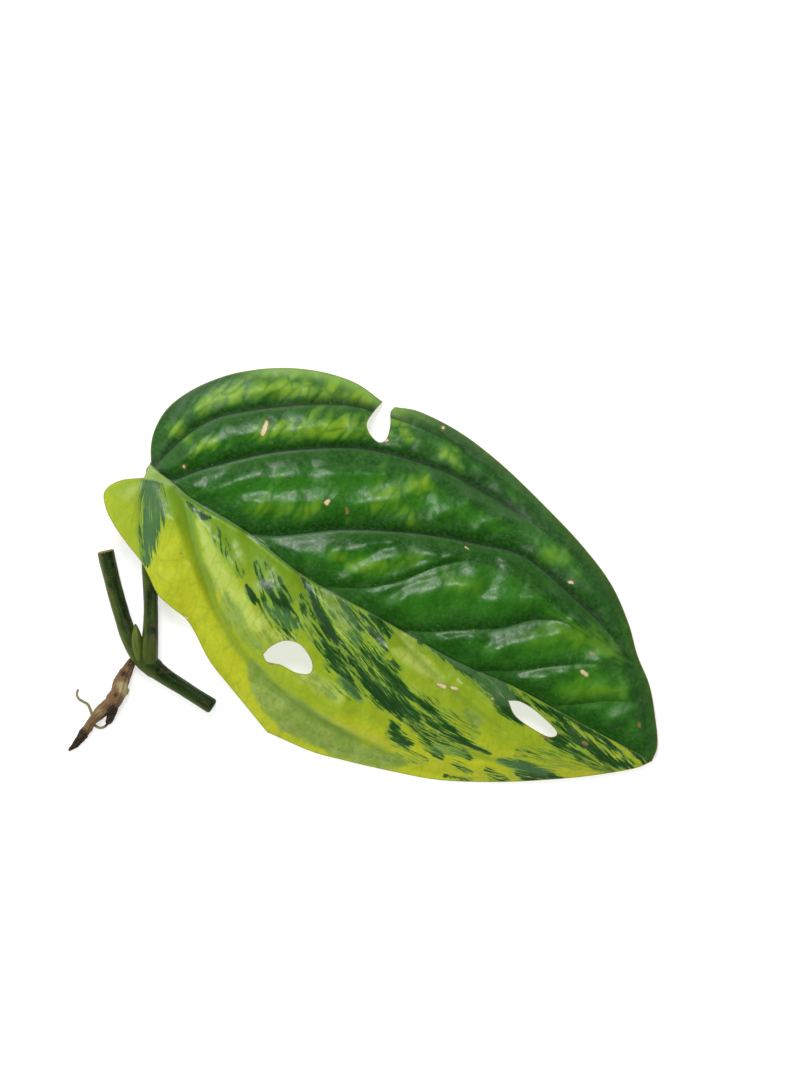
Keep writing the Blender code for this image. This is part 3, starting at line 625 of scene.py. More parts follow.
def flow_across(veins, spots):
    """Which vein each spot lies at, counted from the leaf base, with parts between two veins."""
    last_gap = 12.0
    tip_side = -1.0 if veins[0][-1][1] > 0 else 1.0
    extended = []
    for vein in veins:
        line = through(vein, 2.0)
        before = line[0] + 3 * (line[0] - line[2])
        past_end = line[-1] + 8 * (line[-1] - line[-3])
        extended.append(np.vstack([before, line, past_end]))
    gaps, sides = zip(*(distance_to(line, spots) for line in extended))
    across = -gaps[0] / last_gap
    for number, (gap, side) in enumerate(zip(gaps, sides)):
        next_gap = gaps[number + 1] if number + 1 < len(veins) else last_gap
        across = np.where(side * tip_side > 0, number + gap / (gap + next_gap), across)
    return across


def leaf_to_world(spots, height):
    """Spots on the leaf's own axes in millimetres, with a height, as world places in metres."""
    cos, sin = math.cos(LEAF_TURN), math.sin(LEAF_TURN)
    plan = spots @ np.array([[cos, sin], [-sin, cos]]) + BASE_PLACE
    return np.column_stack([plan, height]) * MM


def to_world(places):
    """Places from the leaf base in millimetres, as world places in metres."""
    moved = np.array(places, float)
    moved[:, :2] += BASE_PLACE
    return moved * MM


def deselect():
    """Leaves nothing selected, so that the next operator acts on its own piece alone."""
    bpy.ops.object.select_all(action="DESELECT")


def picked(obj):
    """Leaves one piece selected and active."""
    deselect()
    obj.select_set(True)
    bpy.context.view_layer.objects.active = obj


def points_of(mesh):
    """The places of a mesh's points."""
    flat = np.empty(len(mesh.vertices) * 3)
    mesh.vertices.foreach_get("co", flat)
    return flat.reshape(-1, 3)


def set_points(mesh, places):
    """Moves a mesh's points."""
    mesh.vertices.foreach_set("co", np.asarray(places, np.float32).ravel())
    mesh.update()


def store(mesh, name, values):
    """Keeps one number, or one vector, for each point of a mesh, for its material to read."""
    values = np.asarray(values, np.float32)
    kind = "FLOAT_VECTOR" if values.ndim == 2 else "FLOAT"
    made = mesh.attributes.new(name, kind, "POINT")
    made.data.foreach_set("vector" if values.ndim == 2 else "value", values.ravel())


def apply_modifiers(obj):
    """Applies all of a piece's modifiers in order."""
    picked(obj)
    for modifier in list(obj.modifiers):
        bpy.ops.object.modifier_apply(modifier=modifier.name)


def combined(obj, other, operation):
    """Cuts or joins a closed piece with another, which is used up."""
    boolean = obj.modifiers.new(operation.lower(), "BOOLEAN")
    boolean.operation = operation
    boolean.solver = "MANIFOLD"
    boolean.object = other
    apply_modifiers(obj)
    bpy.data.objects.remove(other)


def cleaned(obj, reach=0.0000001):
    """Merges points within reach of each other and turns every face outwards."""
    picked(obj)
    bpy.ops.object.mode_set(mode="EDIT")
    bpy.ops.mesh.select_all(action="SELECT")
    bpy.ops.mesh.remove_doubles(threshold=reach)
    bpy.ops.mesh.normals_make_consistent(inside=False)
    bpy.ops.mesh.select_all(action="DESELECT")
    bpy.ops.object.mode_set(mode="OBJECT")


def dressed(obj, node, material, angle=50.0):
    """Shades a finished piece, gives it its material and ties it to the frame."""
    picked(obj)
    bpy.ops.object.shade_smooth_by_angle(angle=math.radians(angle))
    obj.data.materials.clear()
    obj.data.materials.append(material)
    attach(obj, "root")
    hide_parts(node)


class Finish:
    """A material, built node by node from left to right."""

    def __init__(self, name, roughness, specular=0.5):
        self.material = bpy.data.materials.new(name)
        self.material.use_nodes = True
        self.tree = self.material.node_tree
        self.shader = self.tree.nodes["Principled BSDF"]
        self.shader.inputs["Roughness"].default_value = roughness
        self.shader.inputs["Specular IOR Level"].default_value = specular

    def node(self, kind, settings, inputs):
        """Adds a node, sets it and links or fills its inputs."""
        made = self.tree.nodes.new(kind)
        for name, value in settings.items():
            setattr(made, name, value)
        for key, value in inputs.items():
            socket = made.inputs[key]
            if isinstance(value, bpy.types.NodeSocket):
                self.tree.links.new(value, socket)
            elif socket.type == "RGBA":
                socket.default_value = (*value, 1.0)
            else:
                socket.default_value = value
        return made

    def stored(self, name):
        """A number kept on the mesh."""
        return self.node("ShaderNodeAttribute", {"attribute_name": name}, {}).outputs["Fac"]

    def vector(self, operation, first, second):
        """Works two vectors together."""
        inputs = {0: first, 1: second}
        return self.node("ShaderNodeVectorMath", {"operation": operation}, inputs).outputs[0]

    def stored_vector(self, name, scale=(1, 1, 1)):
        """A vector kept on the mesh, stretched by a scale."""
        source = self.node("ShaderNodeAttribute", {"attribute_name": name}, {}).outputs["Vector"]
        return self.vector("MULTIPLY", source, scale)

    def parts(self, name):
        """The three numbers of a vector kept on the mesh."""
        return self.node("ShaderNodeSeparateXYZ", {}, {0: self.stored_vector(name)}).outputs

    def wandering(self, name, push, scale):
        """A vector kept on the mesh, pushed about a little by noise, then stretched by a scale."""
        inputs = {"Vector": self.place(150.0), "Scale": 1.0, "Detail": 1.0}
        drift = self.node("ShaderNodeTexNoise", {}, inputs).outputs["Color"]
        drift = self.vector("MULTIPLY", self.vector("SUBTRACT", drift, (0.5, 0.5, 0.5)), push)
        return self.vector("MULTIPLY", self.vector("ADD", self.stored_vector(name), drift), scale)

    def place(self, scale):
        """The place on the piece, in units of a scale."""
        source = self.node("ShaderNodeTexCoord", {}, {}).outputs["Object"]
        return self.vector("MULTIPLY", source, (scale, scale, scale))

    def grain(self, vector, detail=3.0, rough=0.5, scale=1.0):
        """Smooth noise from 0 to 1."""
        inputs = {"Vector": vector, "Scale": scale, "Detail": detail, "Roughness": rough}
        return self.node("ShaderNodeTexNoise", {}, inputs).outputs[0]

    def cells(self, vector, feature="F1"):
        """Distance from the middles of cells, or from the borders between them."""
        inputs = {"Vector": vector, "Scale": 1.0}
        return self.node("ShaderNodeTexVoronoi", {"feature": feature}, inputs).outputs["Distance"]

    def sum(self, first, *others):
        """Adds numbers."""
        for other in others:
            first = self.node("ShaderNodeMath", {"operation": "ADD"}, {0: first, 1: other}).outputs[0]
        return first

    def times(self, first, *others):
        """Multiplies numbers."""
        for other in others:
            inputs = {0: first, 1: other}
            first = self.node("ShaderNodeMath", {"operation": "MULTIPLY"}, inputs).outputs[0]
        return first

    def swing(self, noise_value, reach):
        """Noise from 0 to 1 turned into noise about zero."""
        return self.times(self.sum(noise_value, -0.5), reach)

    def frayed(self, name, *swings):
        """A number kept on the mesh, made uneven by noises, each given as (noise, reach)."""
        return self.sum(self.stored(name), *(self.swing(*pair) for pair in swings))

    def rise(self, value, low, high, start=0.0, end=1.0):
        """Goes smoothly from start to end as a value goes from low to high."""
        inputs = {"Value": value, "From Min": low, "From Max": high, "To Min": start, "To Max": end}
        return self.node("ShaderNodeMapRange", {"interpolation_type": "SMOOTHSTEP"}, inputs).outputs[0]

    def coated(self, base, *coats):
        """A base colour under coats laid on in turn, each given as (share, colour)."""
        for share, coat in coats:
            made = self.node("ShaderNodeMix", {"data_type": "RGBA"}, {0: share, 6: base, 7: coat})
            base = made.outputs[2]
        return base

    def colour(self, value):
        """Gives the surface its colour."""
        self.tree.links.new(value, self.shader.inputs["Base Color"])

    def roughness(self, value):
        """Gives the surface its roughness."""
        self.tree.links.new(value, self.shader.inputs["Roughness"])

    def bump(self, height, distance, strength=1.0, below=None):
        """Raises the finish by a height from 0 to 1, over a distance in metres."""
        inputs = {"Height": height, "Distance": distance, "Strength": strength}
        if below is not None:
            inputs["Normal"] = below
        made = self.node("ShaderNodeBump", {}, inputs).outputs[0]
        self.tree.links.new(made, self.shader.inputs["Normal"])
        return made


class CUTTING_OT_stage(Operator):
    """Sets the floor, the soft light and the camera over the cutting"""
    bl_idname = "cutting.stage"
    bl_label = "Stage"

    def execute(self, context):
        settings = context.scene.cutting_stage
        self.lay_floor(settings)
        self.hang_lights(context, settings)
        self.set_camera(context, settings)
        context.scene.view_settings.view_transform = "Standard"
        return {"FINISHED"}

    def lay_floor(self, settings):
        """A wide floor that gives off a little light, as a light table does."""
        deselect()
        bpy.ops.mesh.primitive_plane_add(size=FLOOR_SIZE, location=(0, 0, -FLOOR_DROP))
        floor = bpy.context.object
        floor.name = "floor"
        finish = Finish("floor paint", 0.7, 0.2)
        grain = finish.grain(finish.place(2.0), detail=1.0)
        shade = [channel * 0.99 for channel in settings.floor]
        finish.colour(finish.coated(settings.floor, (finish.rise(grain, 0.3, 0.7), shade)))
        finish.shader.inputs["Emission Color"].default_value = WHITE
        finish.shader.inputs["Emission Strength"].default_value = settings.glow
        floor.data.materials.append(finish.material)

    def hang_lights(self, context, settings):
        """Softboxes turned towards the cutting, and an even light from all round."""
        powers = (settings.key, settings.fill, settings.side)
        for (name, place, size, shines), watts in zip(SOFTBOXES, powers):
            light = bpy.data.lights.new(name, "AREA")
            light.size = size
            light.energy = watts
            hung = bpy.data.objects.new(name, light)
            hung.location = place
            hung.visible_glossy = shines
            hung.rotation_euler = (-Vector(place)).to_track_quat("-Z", "Y").to_euler()
            context.scene.collection.objects.link(hung)
        world = bpy.data.worlds.new("even light")
        context.scene.world = world
        world.use_nodes = True
        background = world.node_tree.nodes["Background"]
        background.inputs["Color"].default_value = WHITE
        background.inputs["Strength"].default_value = settings.sky
        world.cycles_visibility.glossy = False

    def set_camera(self, context, settings):
        """A long lens that looks straight down."""
        lens = bpy.data.cameras.new("camera")
        lens.sensor_fit = "VERTICAL"
        lens.sensor_height = SENSOR
        lens.lens = SENSOR * settings.camera_height / settings.field
        camera = bpy.data.objects.new("camera", lens)
        camera.location = (*CAMERA_PLACE, settings.camera_height)
        context.scene.collection.objects.link(camera)
        context.scene.camera = camera


class CUTTING_OT_leaf_blade(Operator):
    """Makes the blade: a sheet cut to its outline, raised to its form and painted by place"""
    bl_idname = "cutting.leaf_blade"
    bl_label = "Leaf Blade"

    def execute(self, context):
        settings = context.scene.cutting_leaf
        blade = self.cut_sheet(settings)
        places = points_of(blade.data)
        spots, on_top = places[:, :2].copy(), places[:, 2] > -0.5
        self.measure(spots)
        height, depth = self.form(settings, spots)
        top_drop = TOP_SHARE * (settings.thickness / MM - depth["rim"])
        z = np.where(on_top, height - top_drop, height - depth["full"] + 0.5 * top_drop)
        set_points(blade.data, leaf_to_world(spots, np.maximum(z, 0.0)))
        self.keep_measures(blade.data, spots, on_top)
        dressed(blade, "leaf_blade", self.skin(settings))
        return {"FINISHED"}

    def cut_sheet(self, settings):
        """A flat slab in millimetres on the leaf's own axes, cut to the outline and its holes."""
        base_edge = [LOWER_BACK_MARGIN[-1], UPPER_BACK_MARGIN[0]]
        front = [UPPER_FRONT_MARGIN, LOWER_FRONT_MARGIN, LOWER_BACK_MARGIN, base_edge]
        self.outline = joined([UPPER_BACK_MARGIN, TORN_NOTCH] + front, MARGIN_STEP)
        self.untorn = joined([UPPER_BACK_MARGIN + UPPER_FRONT_MARGIN] + front[1:], VEIN_STEP)
        self.holes = [joined([hole], HOLE_STEP) for hole in (BACK_HOLE, FRONT_HOLE)]
        low = self.outline.min(axis=0) - MARGIN_STEP
        high = self.outline.max(axis=0) + MARGIN_STEP
        cells = np.round((high - low) / (settings.cell / MM)).astype(int)
        deselect()
        bpy.ops.mesh.primitive_grid_add(x_subdivisions=cells[0], y_subdivisions=cells[1], size=1.0)
        blade = bpy.context.object
        blade.name = "blade"
        sheet = points_of(blade.data)
        sheet[:, :2] = low + (sheet[:, :2] + 0.5) * (high - low)
        set_points(blade.data, sheet)
        wall = blade.modifiers.new("thickness", "SOLIDIFY")
        wall.thickness = 1.0
        wall.offset = -1.0
        apply_modifiers(blade)
        combined(blade, self.cutter(self.outline), "INTERSECT")
        for hole in self.holes:
            combined(blade, self.cutter(hole), "DIFFERENCE")
        blade.modifiers.new("triangles", "TRIANGULATE")
        apply_modifiers(blade)
        cleaned(blade, MERGE_REACH)
        return blade

    def cutter(self, loop):
        """A thick plate with a loop as its outline."""
        deselect()
        bpy.ops.mesh.primitive_circle_add(vertices=len(loop), radius=1.0, fill_type="NGON")
        plate = bpy.context.object
        set_points(plate.data, np.column_stack([loop, np.full(len(loop), -0.5)]))
        wall = plate.modifiers.new("thickness", "SOLIDIFY")
        wall.thickness = 3.0
        wall.offset = 0.0
        apply_modifiers(plate)
        cleaned(plate)
        return plate

    def measure(self, spots):
        """Distances from the midrib, the veins and the margin."""
        rib = through(MIDRIB, VEIN_STEP)
        self.from_rib, _ = distance_to(rib, spots)
        self.upper = spots[:, 1] > np.interp(spots[:, 0], rib[:, 0], rib[:, 1])
        strengths, fades = UPPER_STRENGTHS + LOWER_STRENGTHS, UPPER_FADES + LOWER_FADES
        self.vein_gaps = []
        for vein, strength, fade in zip(UPPER_VEINS + LOWER_VEINS, strengths, fades):
            gap, _ = distance_to(through(vein, VEIN_STEP), spots)
            self.vein_gaps.append((gap, strength * np.interp(spots[:, 0], fade, (1.0, 0.0))))
        faded = [gap + 3.0 * (1 - share) ** 2 for gap, share in self.vein_gaps]
        self.from_vein = np.min(faded, axis=0)
        self.from_margin, _ = distance_to(closed(self.untorn), spots)
        rims = [self.outline] + self.holes
        self.from_rim = np.min([distance_to(closed(loop), spots)[0] for loop in rims], axis=0)
        across = [flow_across(veins, spots) for veins in (UPPER_VEINS, LOWER_VEINS)]
        self.across = np.where(self.upper, *across)
        self.rib_edge = self.from_rib / profile(RIB_HALF_WIDTH, spots[:, 0])

    def form(self, settings, spots):
        """Height of the upper face, and the thickness under it."""
        along, across = spots.T
        edges = [profile(heights, along) for heights in (UPPER_EDGE_HEIGHT, LOWER_EDGE_HEIGHT)]
        width = self.from_rib + self.from_margin
        share = self.from_rib / np.maximum(width, 0.001)
        arch = profile(MIDRIB_HEIGHT, along) * (1 - share**2) + np.where(self.upper, *edges) * share**2
        crown = 4 * CROWN_HEIGHT * share * (1 - share) * np.minimum(1, width / CROWN_FULL_WIDTH)
        from_any = np.min([self.from_vein, self.from_rib, self.from_margin], axis=0)
        bounds = [bell(self.from_rib, SWELL_WIDTH), bell(self.from_margin, SWELL_WIDTH)]
        self.swell = 1 - np.max(bounds + [self.sunk(SWELL_WIDTH)], axis=0)
        ripple = np.sin(math.tau * along / RIPPLE_LENGTHS[0] + 1.3 * np.sin(across / 6))
        ripple *= np.sin(math.tau * across / RIPPLE_LENGTHS[1] + along / 17)
        relief = (settings.swelling / MM + RIPPLE_HEIGHT * ripple) * self.swell
        clear = 1 - bell(from_any, 1.8)
        relief += settings.ridge / MM * bell(1 - stroke_field(RIDGES, spots), 0.95) * clear
        quilting = self.puckers(spots) * np.where(self.upper, 1.0, 0.45)
        relief += settings.quilting / MM * quilting * clear
        relief -= VEIN_FURROW[0] * self.sunk(VEIN_FURROW[1]) * np.minimum(1, self.from_margin / 8)
        sharp = [share * np.exp(-gap / VEIN_CREASE[1]) for gap, share in self.vein_gaps]
        relief -= VEIN_CREASE[0] * np.max(sharp, axis=0) * np.minimum(1, self.from_margin / 5)
        relief -= MIDRIB_GROOVE[0] * bell(self.from_rib, MIDRIB_GROOVE[1])
        relief += np.interp(along, *zip(*RIB_RISE)) * bell(self.rib_edge, 1.1)
        relief += settings.crinkle / MM * self.crinkles(spots) * (1 - bell(from_any, 1.2))
        height = np.maximum(arch + crown + relief, LOWEST_FACE)
        rim, thickness = settings.rim / MM, settings.thickness / MM
        thin = rim + (thickness - rim) * (1 - bell(self.from_rim, 0.8))
        rib_depth = np.interp(along, [0, LEAF_LENGTH], RIB_DEPTHS) * bell(self.from_rib, RIB_WIDTH)
        vein_depth = VEIN_RIDGE[0] * self.sunk(VEIN_RIDGE[1]) * np.minimum(1, self.from_rim / 2)
        return height, {"rim": thin, "full": thin + np.maximum(rib_depth, vein_depth)}

    def sunk(self, width):
        """How far each spot is drawn down by the veins near it."""
        return np.max([share * bell(gap, width) for gap, share in self.vein_gaps], axis=0)

    def puckers(self, spots):
        """Puckers drawn out along the veins, from about minus one to one."""
        values = np.empty(len(spots))
        for number, ((u, v), across) in enumerate(zip(spots, self.across)):
            drawn = noise.noise(Vector((u / 7.0, across * 2.1, 3.3)))
            round_ones = noise.noise(Vector((u / 4.6, v / 4.2, 6.1)))
            values[number] = 1.5 * drawn + 1.1 * round_ones
        return values

    def crinkles(self, spots):
        """Fine leathery unevenness, from about minus one to one."""
        values = np.empty(len(spots))
        for number, (u, v) in enumerate(spots):
            broad = noise.noise(Vector((u / 3.6, v / 3.6, 1.7)))
            fine = noise.noise(Vector((u / 1.5, v / 1.5, 9.2)))
            values[number] = 1.3 * broad + 0.6 * fine
        return values

    def keep_measures(self, mesh, spots, on_top):
        """Stores what the skin's material reads."""
        dark = np.minimum(stroke_field(DARK_STROKES, spots, 1.2), 0.8)
        broken = np.minimum(stroke_field(BROKEN_STROKES, spots), 0.1)
        faint = np.minimum(stroke_field(FAINT_STROKES, spots), -0.45)
        split = stroke_field(YELLOW_STROKES, spots)
        solid = np.max([dark, broken, faint], axis=0)
        streak = np.where(split > 0, np.minimum(dark, -0.6 * split), solid)
        soft = np.minimum(stroke_field(SOFT_PATCHES, spots), 0.12)
        measures = {
            "flow": np.column_stack([spots[:, 0], self.across, np.zeros(len(spots))]),
            "half": np.where(self.upper, self.from_rib, -self.from_rib),
            "rib": self.rib_edge,
            "vein": self.from_vein,
            "margin": self.from_rim,
            "outer": self.from_margin,
            "swell": self.swell,
            "streak": np.where(streak <= -1, -1.6, streak),
            "sage": np.maximum(stroke_field(SAGE_PATCHES, spots, 1.8), soft),
            "pale": stroke_field(PALE_PATCHES, spots),
            "lime": stroke_field(LIME_PATCHES, spots),
            "glow": stroke_field(GLOW_BLOTCHES, spots),
            "scar": stroke_field(SCARS, spots),
            "brown": stroke_field(BROWN_SPOTS, spots),
            "under": np.where(on_top, 0.0, 1.0),
        }
        for name, values in measures.items():
            store(mesh, name, values)

    def skin(self, settings):
        """The blade's skin, green above the midrib and yellow with green strokes below it."""
        finish = Finish("leaf skin", 0.38)
        drift = (2.0, 0.09, 0.0)
        wide_fibre = finish.grain(finish.wandering("flow", drift, (0.1, 9.0, 1.0)), 2.0)
        fine_fibre = finish.grain(finish.wandering("flow", drift, (0.26, 30.0, 1.0)), 4.0, 0.6)
        threads = finish.rise(fine_fibre, 0.32, 0.68, -0.75, 0.75)
        self.fibre = finish.sum(finish.swing(wide_fibre, 2.4), threads)
        net_place = finish.wandering("flow", (3.0, 0.3, 0.0), (0.34, 2.8, 1.0))
        self.net = finish.cells(net_place, "DISTANCE_TO_EDGE")
        self.brush = finish.grain(finish.stored_vector("flow", (0.16, 4.5, 1.0)), 3.0, 0.55)
        self.mottle = finish.grain(finish.place(MOTTLE_SCALE), 4.0, 0.6)
        self.leather = finish.grain(finish.place(LEATHER_SCALE), 3.0, 0.6)
        self.vein = finish.stored("vein")

        along = finish.parts("flow")[0]
        side = finish.rise(finish.stored("half"), -0.08, 0.08)
        # Painted shadow of the midrib, a dark line on its green side only
        painted_rib_shadow = finish.times(finish.rise(finish.stored("rib"), 1.2, 2.6, 0.75, 0.0), side)
        on_rib = finish.rise(finish.frayed("rib", (self.leather, 0.4)), 0.7, 1.15, 1.0, 0.0)
        on_rib = finish.times(on_rib, finish.rise(along, 40.0, 75.0, 1.0, 0.3))
        rib_colour = finish.coated(settings.rib, (finish.rise(along, 1.0, 14.0), settings.far_rib))
        colour = finish.coated(
            self.yellow_half(finish, settings),
            (side, self.green_half(finish, settings)),
            (painted_rib_shadow, settings.painted_rib_shadow),
            (on_rib, rib_colour),
        )
        colour = self.blemished(finish, settings, colour)
        below = finish.coated(colour, (0.5, settings.underside))
        finish.colour(finish.coated(colour, (finish.rise(finish.stored("under"), 0.4, 0.6), below)))

        dull = finish.sum(
            finish.rise(self.vein, 0.15, 1.0, 0.18, 0.0),
            finish.rise(finish.stored("outer"), 5.0, 14.0, 0.12, 0.0),
        )
        finish.roughness(finish.sum(finish.rise(self.leather, 0.25, 0.75, 0.31, 0.47), dull))
        pores = finish.times(finish.cells(finish.place(PORE_SCALE)), 0.6)
        quilt = finish.bump(finish.rise(self.net, 0.0, 0.5), NET_DEPTH, 0.4)
        lumps = finish.bump(finish.grain(finish.place(MOTTLE_SCALE), 1.5), LUMP_DEPTH, 0.5, quilt)
        grain = finish.bump(finish.sum(pores, self.leather), LEATHER_DEPTH, 0.6, lumps)
        finish.bump(finish.grain(finish.place(FINE_SCALE), 2.0, 0.6), FINE_DEPTH, 0.5, grain)
        return finish.material

    def green_half(self, finish, settings):
        """Deep green in the furrows and brighter on the swellings, partly the leaf's own tone and
        partly painted shade and light, with yellow-green blotches.
        """
        along, across, _ = finish.parts("flow")
        outer = finish.stored("outer")
        between_veins = finish.node("ShaderNodeMath", {"operation": "FRACT"}, {0: across}).outputs[0]
        near_base = finish.rise(along, 50.0, 86.0, 1.0, 0.35)
        # The swelling, mottled: green darker in the furrows and lighter on the swellings, partly
        # painted shade and light
        swell = finish.frayed("swell", (self.mottle, 1.1))
        blob = finish.grain(finish.wandering("flow", (2.0, 0.2, 0.0), (0.3, 2.4, 1.0)), 1.5)
        filled = finish.times(finish.rise(self.net, 0.0, 0.3, -0.25, 0.25), near_base)
        patch = finish.sum(finish.frayed("glow", (blob, 3.4), (self.mottle, 1.4)), filled)
        fresh = finish.times(finish.rise(patch, -1.2, 0.8), finish.rise(outer, 14.0, 24.0, 0.5, 0.3))
        strength = finish.times(finish.rise(outer, 13.0, 22.0, 0.85, 0.42), near_base)
        # How near the next vein each spot lies, for the painted shade just before it
        foot = finish.sum(between_veins, finish.swing(self.mottle, 0.3))
        hollow = finish.times(
            finish.rise(self.vein, 0.3, 2.8, 0.7, 0.0), finish.rise(between_veins, 0.5, 0.56),
        )
        # Painted sheen on the slope just behind each vein
        slope = finish.times(
            finish.rise(self.vein, 0.4, 3.0, 0.35, 0.0),
            finish.rise(between_veins, 0.44, 0.5, 1.0, 0.0),
        )
        rim = finish.times(
            finish.rise(finish.frayed("outer", (self.leather, 0.8)), 0.4, 3.2, 0.75, 0.0),
            finish.rise(along, 30.0, 60.0, 1.0, 0.12),
            finish.rise(along, 4.0, 16.0),
        )
        # Painted shade in the vein creases, stronger on the side before each vein
        crease = finish.times(
            finish.rise(self.vein, 0.12, 0.55, 1.0, 0.0),
            finish.rise(between_veins, 0.5, 0.56, 0.35, 0.9),
        )
        return finish.coated(
            settings.deep_green,
            (finish.rise(swell, 0.2, 1.2), settings.mid_green),
            (fresh, settings.fresh_green),
            (finish.times(finish.rise(patch, -0.5, 1.8), strength), settings.glow_green),
            (finish.rise(foot, 0.6, 1.0, 0.0, 0.35), settings.painted_foot_shade),
            (hollow, settings.hollow_green),
            (slope, settings.painted_sheen_green),
            (finish.times(finish.rise(self.net, 0.0, 0.16, 0.3, 0.0), near_base), settings.deep_green),
            (rim, settings.rim_green),
            (finish.rise(self.leather, 0.35, 0.75, 0.0, 0.16), settings.speckle_green),
            (crease, settings.painted_crease_shade),
        )

    def yellow_half(self, finish, settings):
        """Lime to yellow, with pale and grey-green patches under dark green strokes."""
        outer = finish.frayed("outer", (self.brush, 12.0))
        lime = finish.frayed("lime", (self.mottle, 1.6))
        pale = finish.rise(finish.frayed("pale", (self.mottle, 1.8)), -0.3, 0.8)
        near_rib = finish.frayed("half", (self.brush, 5.0))
        grassy = finish.times(
            finish.rise(near_rib, -11.0, -2.0, 0.0, 0.8),
            finish.rise(finish.parts("flow")[0], 36.0, 66.0, 1.0, 0.3),
        )
        sage = finish.frayed("sage", (self.brush, 1.3), (self.leather, 0.9))
        sage = finish.rise(finish.sum(sage, finish.times(self.fibre, 0.3)), -0.3, 0.45)
        cloudy = finish.sum(self.mottle, finish.swing(self.leather, 0.25))
        cloud = finish.coated(
            settings.cloud,
            (finish.rise(cloudy, 0.36, 0.66), settings.pale_cloud),
            (finish.rise(self.leather, 0.36, 0.46, 0.55, 0.0), settings.dark_cloud),
        )
        dark = finish.sum(finish.stored("streak"), self.fibre)
        streak = finish.coated(
            settings.streak,
            (finish.times(sage, 0.75), settings.sage_streak),
            (finish.rise(dark, 0.1, 0.9, 0.55, 0.0), settings.frayed_streak),
            # Darker along the vein furrows: partly the veins' own colour, partly painted shade
            (finish.rise(self.vein, 0.15, 0.6, 0.7, 0.0), settings.furrow_streak),
        )
        return finish.coated(
            settings.yellow,
            (finish.rise(outer, 3.0, 22.0), settings.lime),
            (finish.rise(lime, -0.6, 0.7, 0.0, 0.8), settings.lime),
            (grassy, settings.grass),
            (finish.times(pale, 0.7), settings.pale),
            (finish.times(finish.rise(self.leather, 0.52, 0.68), pale, 0.6), settings.pale_dots),
            (finish.rise(self.leather, 0.3, 0.72, 0.26, 0.0), settings.grass),
            (finish.rise(self.net, 0.0, 0.07, 0.3, 0.0), settings.grass),
            (finish.times(sage, 0.88), finish.coated(settings.sage, (0.55, cloud))),
            # Darker along the vein furrows: partly the veins' own colour, partly painted shade
            (finish.rise(self.vein, 0.1, 1.7, 0.6, 0.0), settings.crease_yellow),
            (finish.rise(dark, -0.8, -0.1, 0.0, 0.6), settings.streak_halo),
            (finish.rise(dark, -0.08, 0.1), streak),
        )

    def blemished(self, finish, settings, colour):
        """A colour under specks, brown spots, scars and the dry line along the margin."""
        brown, scar = (finish.frayed(name, (self.leather, 1.4)) for name in ("brown", "scar"))
        specks = finish.cells(finish.place(SPECK_SCALE))
        return finish.coated(
            colour,
            (finish.rise(specks, 0.03, 0.075, 0.4, 0.0), settings.specks),
            (finish.rise(brown, -0.3, 0.5, 0.0, 0.8), settings.brown),
            (finish.rise(scar, -0.8, -0.1, 0.0, 0.35), settings.brown),
            (finish.rise(scar, -0.05, 0.35), settings.scar),
            (finish.rise(finish.stored("margin"), 0.08, 0.34, 0.6, 0.0), settings.dry_margin),
        )


def carried_frames(places):
    """A sideways and an upward direction at each place along a line, carried without twist."""
    runs = np.gradient(places, axis=0)
    runs /= np.linalg.norm(runs, axis=1)[:, None]
    up = np.array([0.0, 0.0, 1.0])
    sides, ups = [], []
    for run in runs:
        up = up - run * (up @ run)
        up /= np.linalg.norm(up)
        ups.append(up)
        sides.append(np.cross(run, up))
    return runs, np.array(sides), np.array(ups)


def ended(stations, start, end):
    """A tube's stations with its two ends closed, each by (step outwards, share of radius) pairs."""
    first, last = stations[0], stations[-1]
    out_first = (stations[0] - stations[1])[:3]
    out_last = (stations[-1] - stations[-2])[:3]
    out_first /= np.linalg.norm(out_first)
    out_last /= np.linalg.norm(out_last)
    before = [(*(first[:3] + step * out_first), first[3] * share) for step, share in start]
    after = [(*(last[:3] + step * out_last), last[3] * share) for step, share in end]
    return np.vstack([before[::-1], stations, after])


def swept(name, stations, sides, relief):
    """A closed tube rolled from a grid: relief gives what to add to its radius, in millimetres."""
    deselect()
    rings = len(stations)
    bpy.ops.mesh.primitive_grid_add(x_subdivisions=rings - 1, y_subdivisions=sides, size=1.0)
    tube = bpy.context.object
    tube.name = name
    flat = points_of(tube.data)
    ring = np.round((flat[:, 0] + 0.5) * (rings - 1)).astype(int)
    turn = np.round((flat[:, 1] + 0.5) * sides).astype(int) % sides
    around = math.tau * turn / sides
    _, sideways, ups = carried_frames(smoothed(stations[:, :3]))
    travelled = travelled_along(stations[:, :3])
    radius = stations[ring, 3]
    closing = np.minimum(1, radius / (0.6 * np.median(stations[:, 3])))
    radius = radius + relief(travelled[ring], around) * closing * (stations[ring, 3] > 0)
    arm = sideways[ring] * np.cos(around)[:, None] + ups[ring] * np.sin(around)[:, None]
    places = stations[ring, :3] + arm * radius[:, None]
    places[:, 2] = np.maximum(places[:, 2], 0.0)
    set_points(tube.data, to_world(places))
    cleaned(tube)
    return tube


def smoothed(places):
    """A tube's line with its closing stations spread, so that directions can be read from it."""
    spread = places.copy()
    for number in range(1, len(spread)):
        gap = spread[number] - spread[number - 1]
        after = places[min(number + 1, len(places) - 1)]
        if np.linalg.norm(gap) < 0.02 or gap @ (after - places[number - 1]) < 0:
            before = spread[number - 1] - spread[max(number - 2, 0)]
            size = np.linalg.norm(before)
            spread[number] = spread[number - 1] + (before / size * 0.05 if size > 0 else gap)
    return spread


def from_base(mesh):
    """The places of a mesh's points in millimetres from the leaf base."""
    places = points_of(mesh) / MM
    places[:, :2] -= BASE_PLACE
    return places


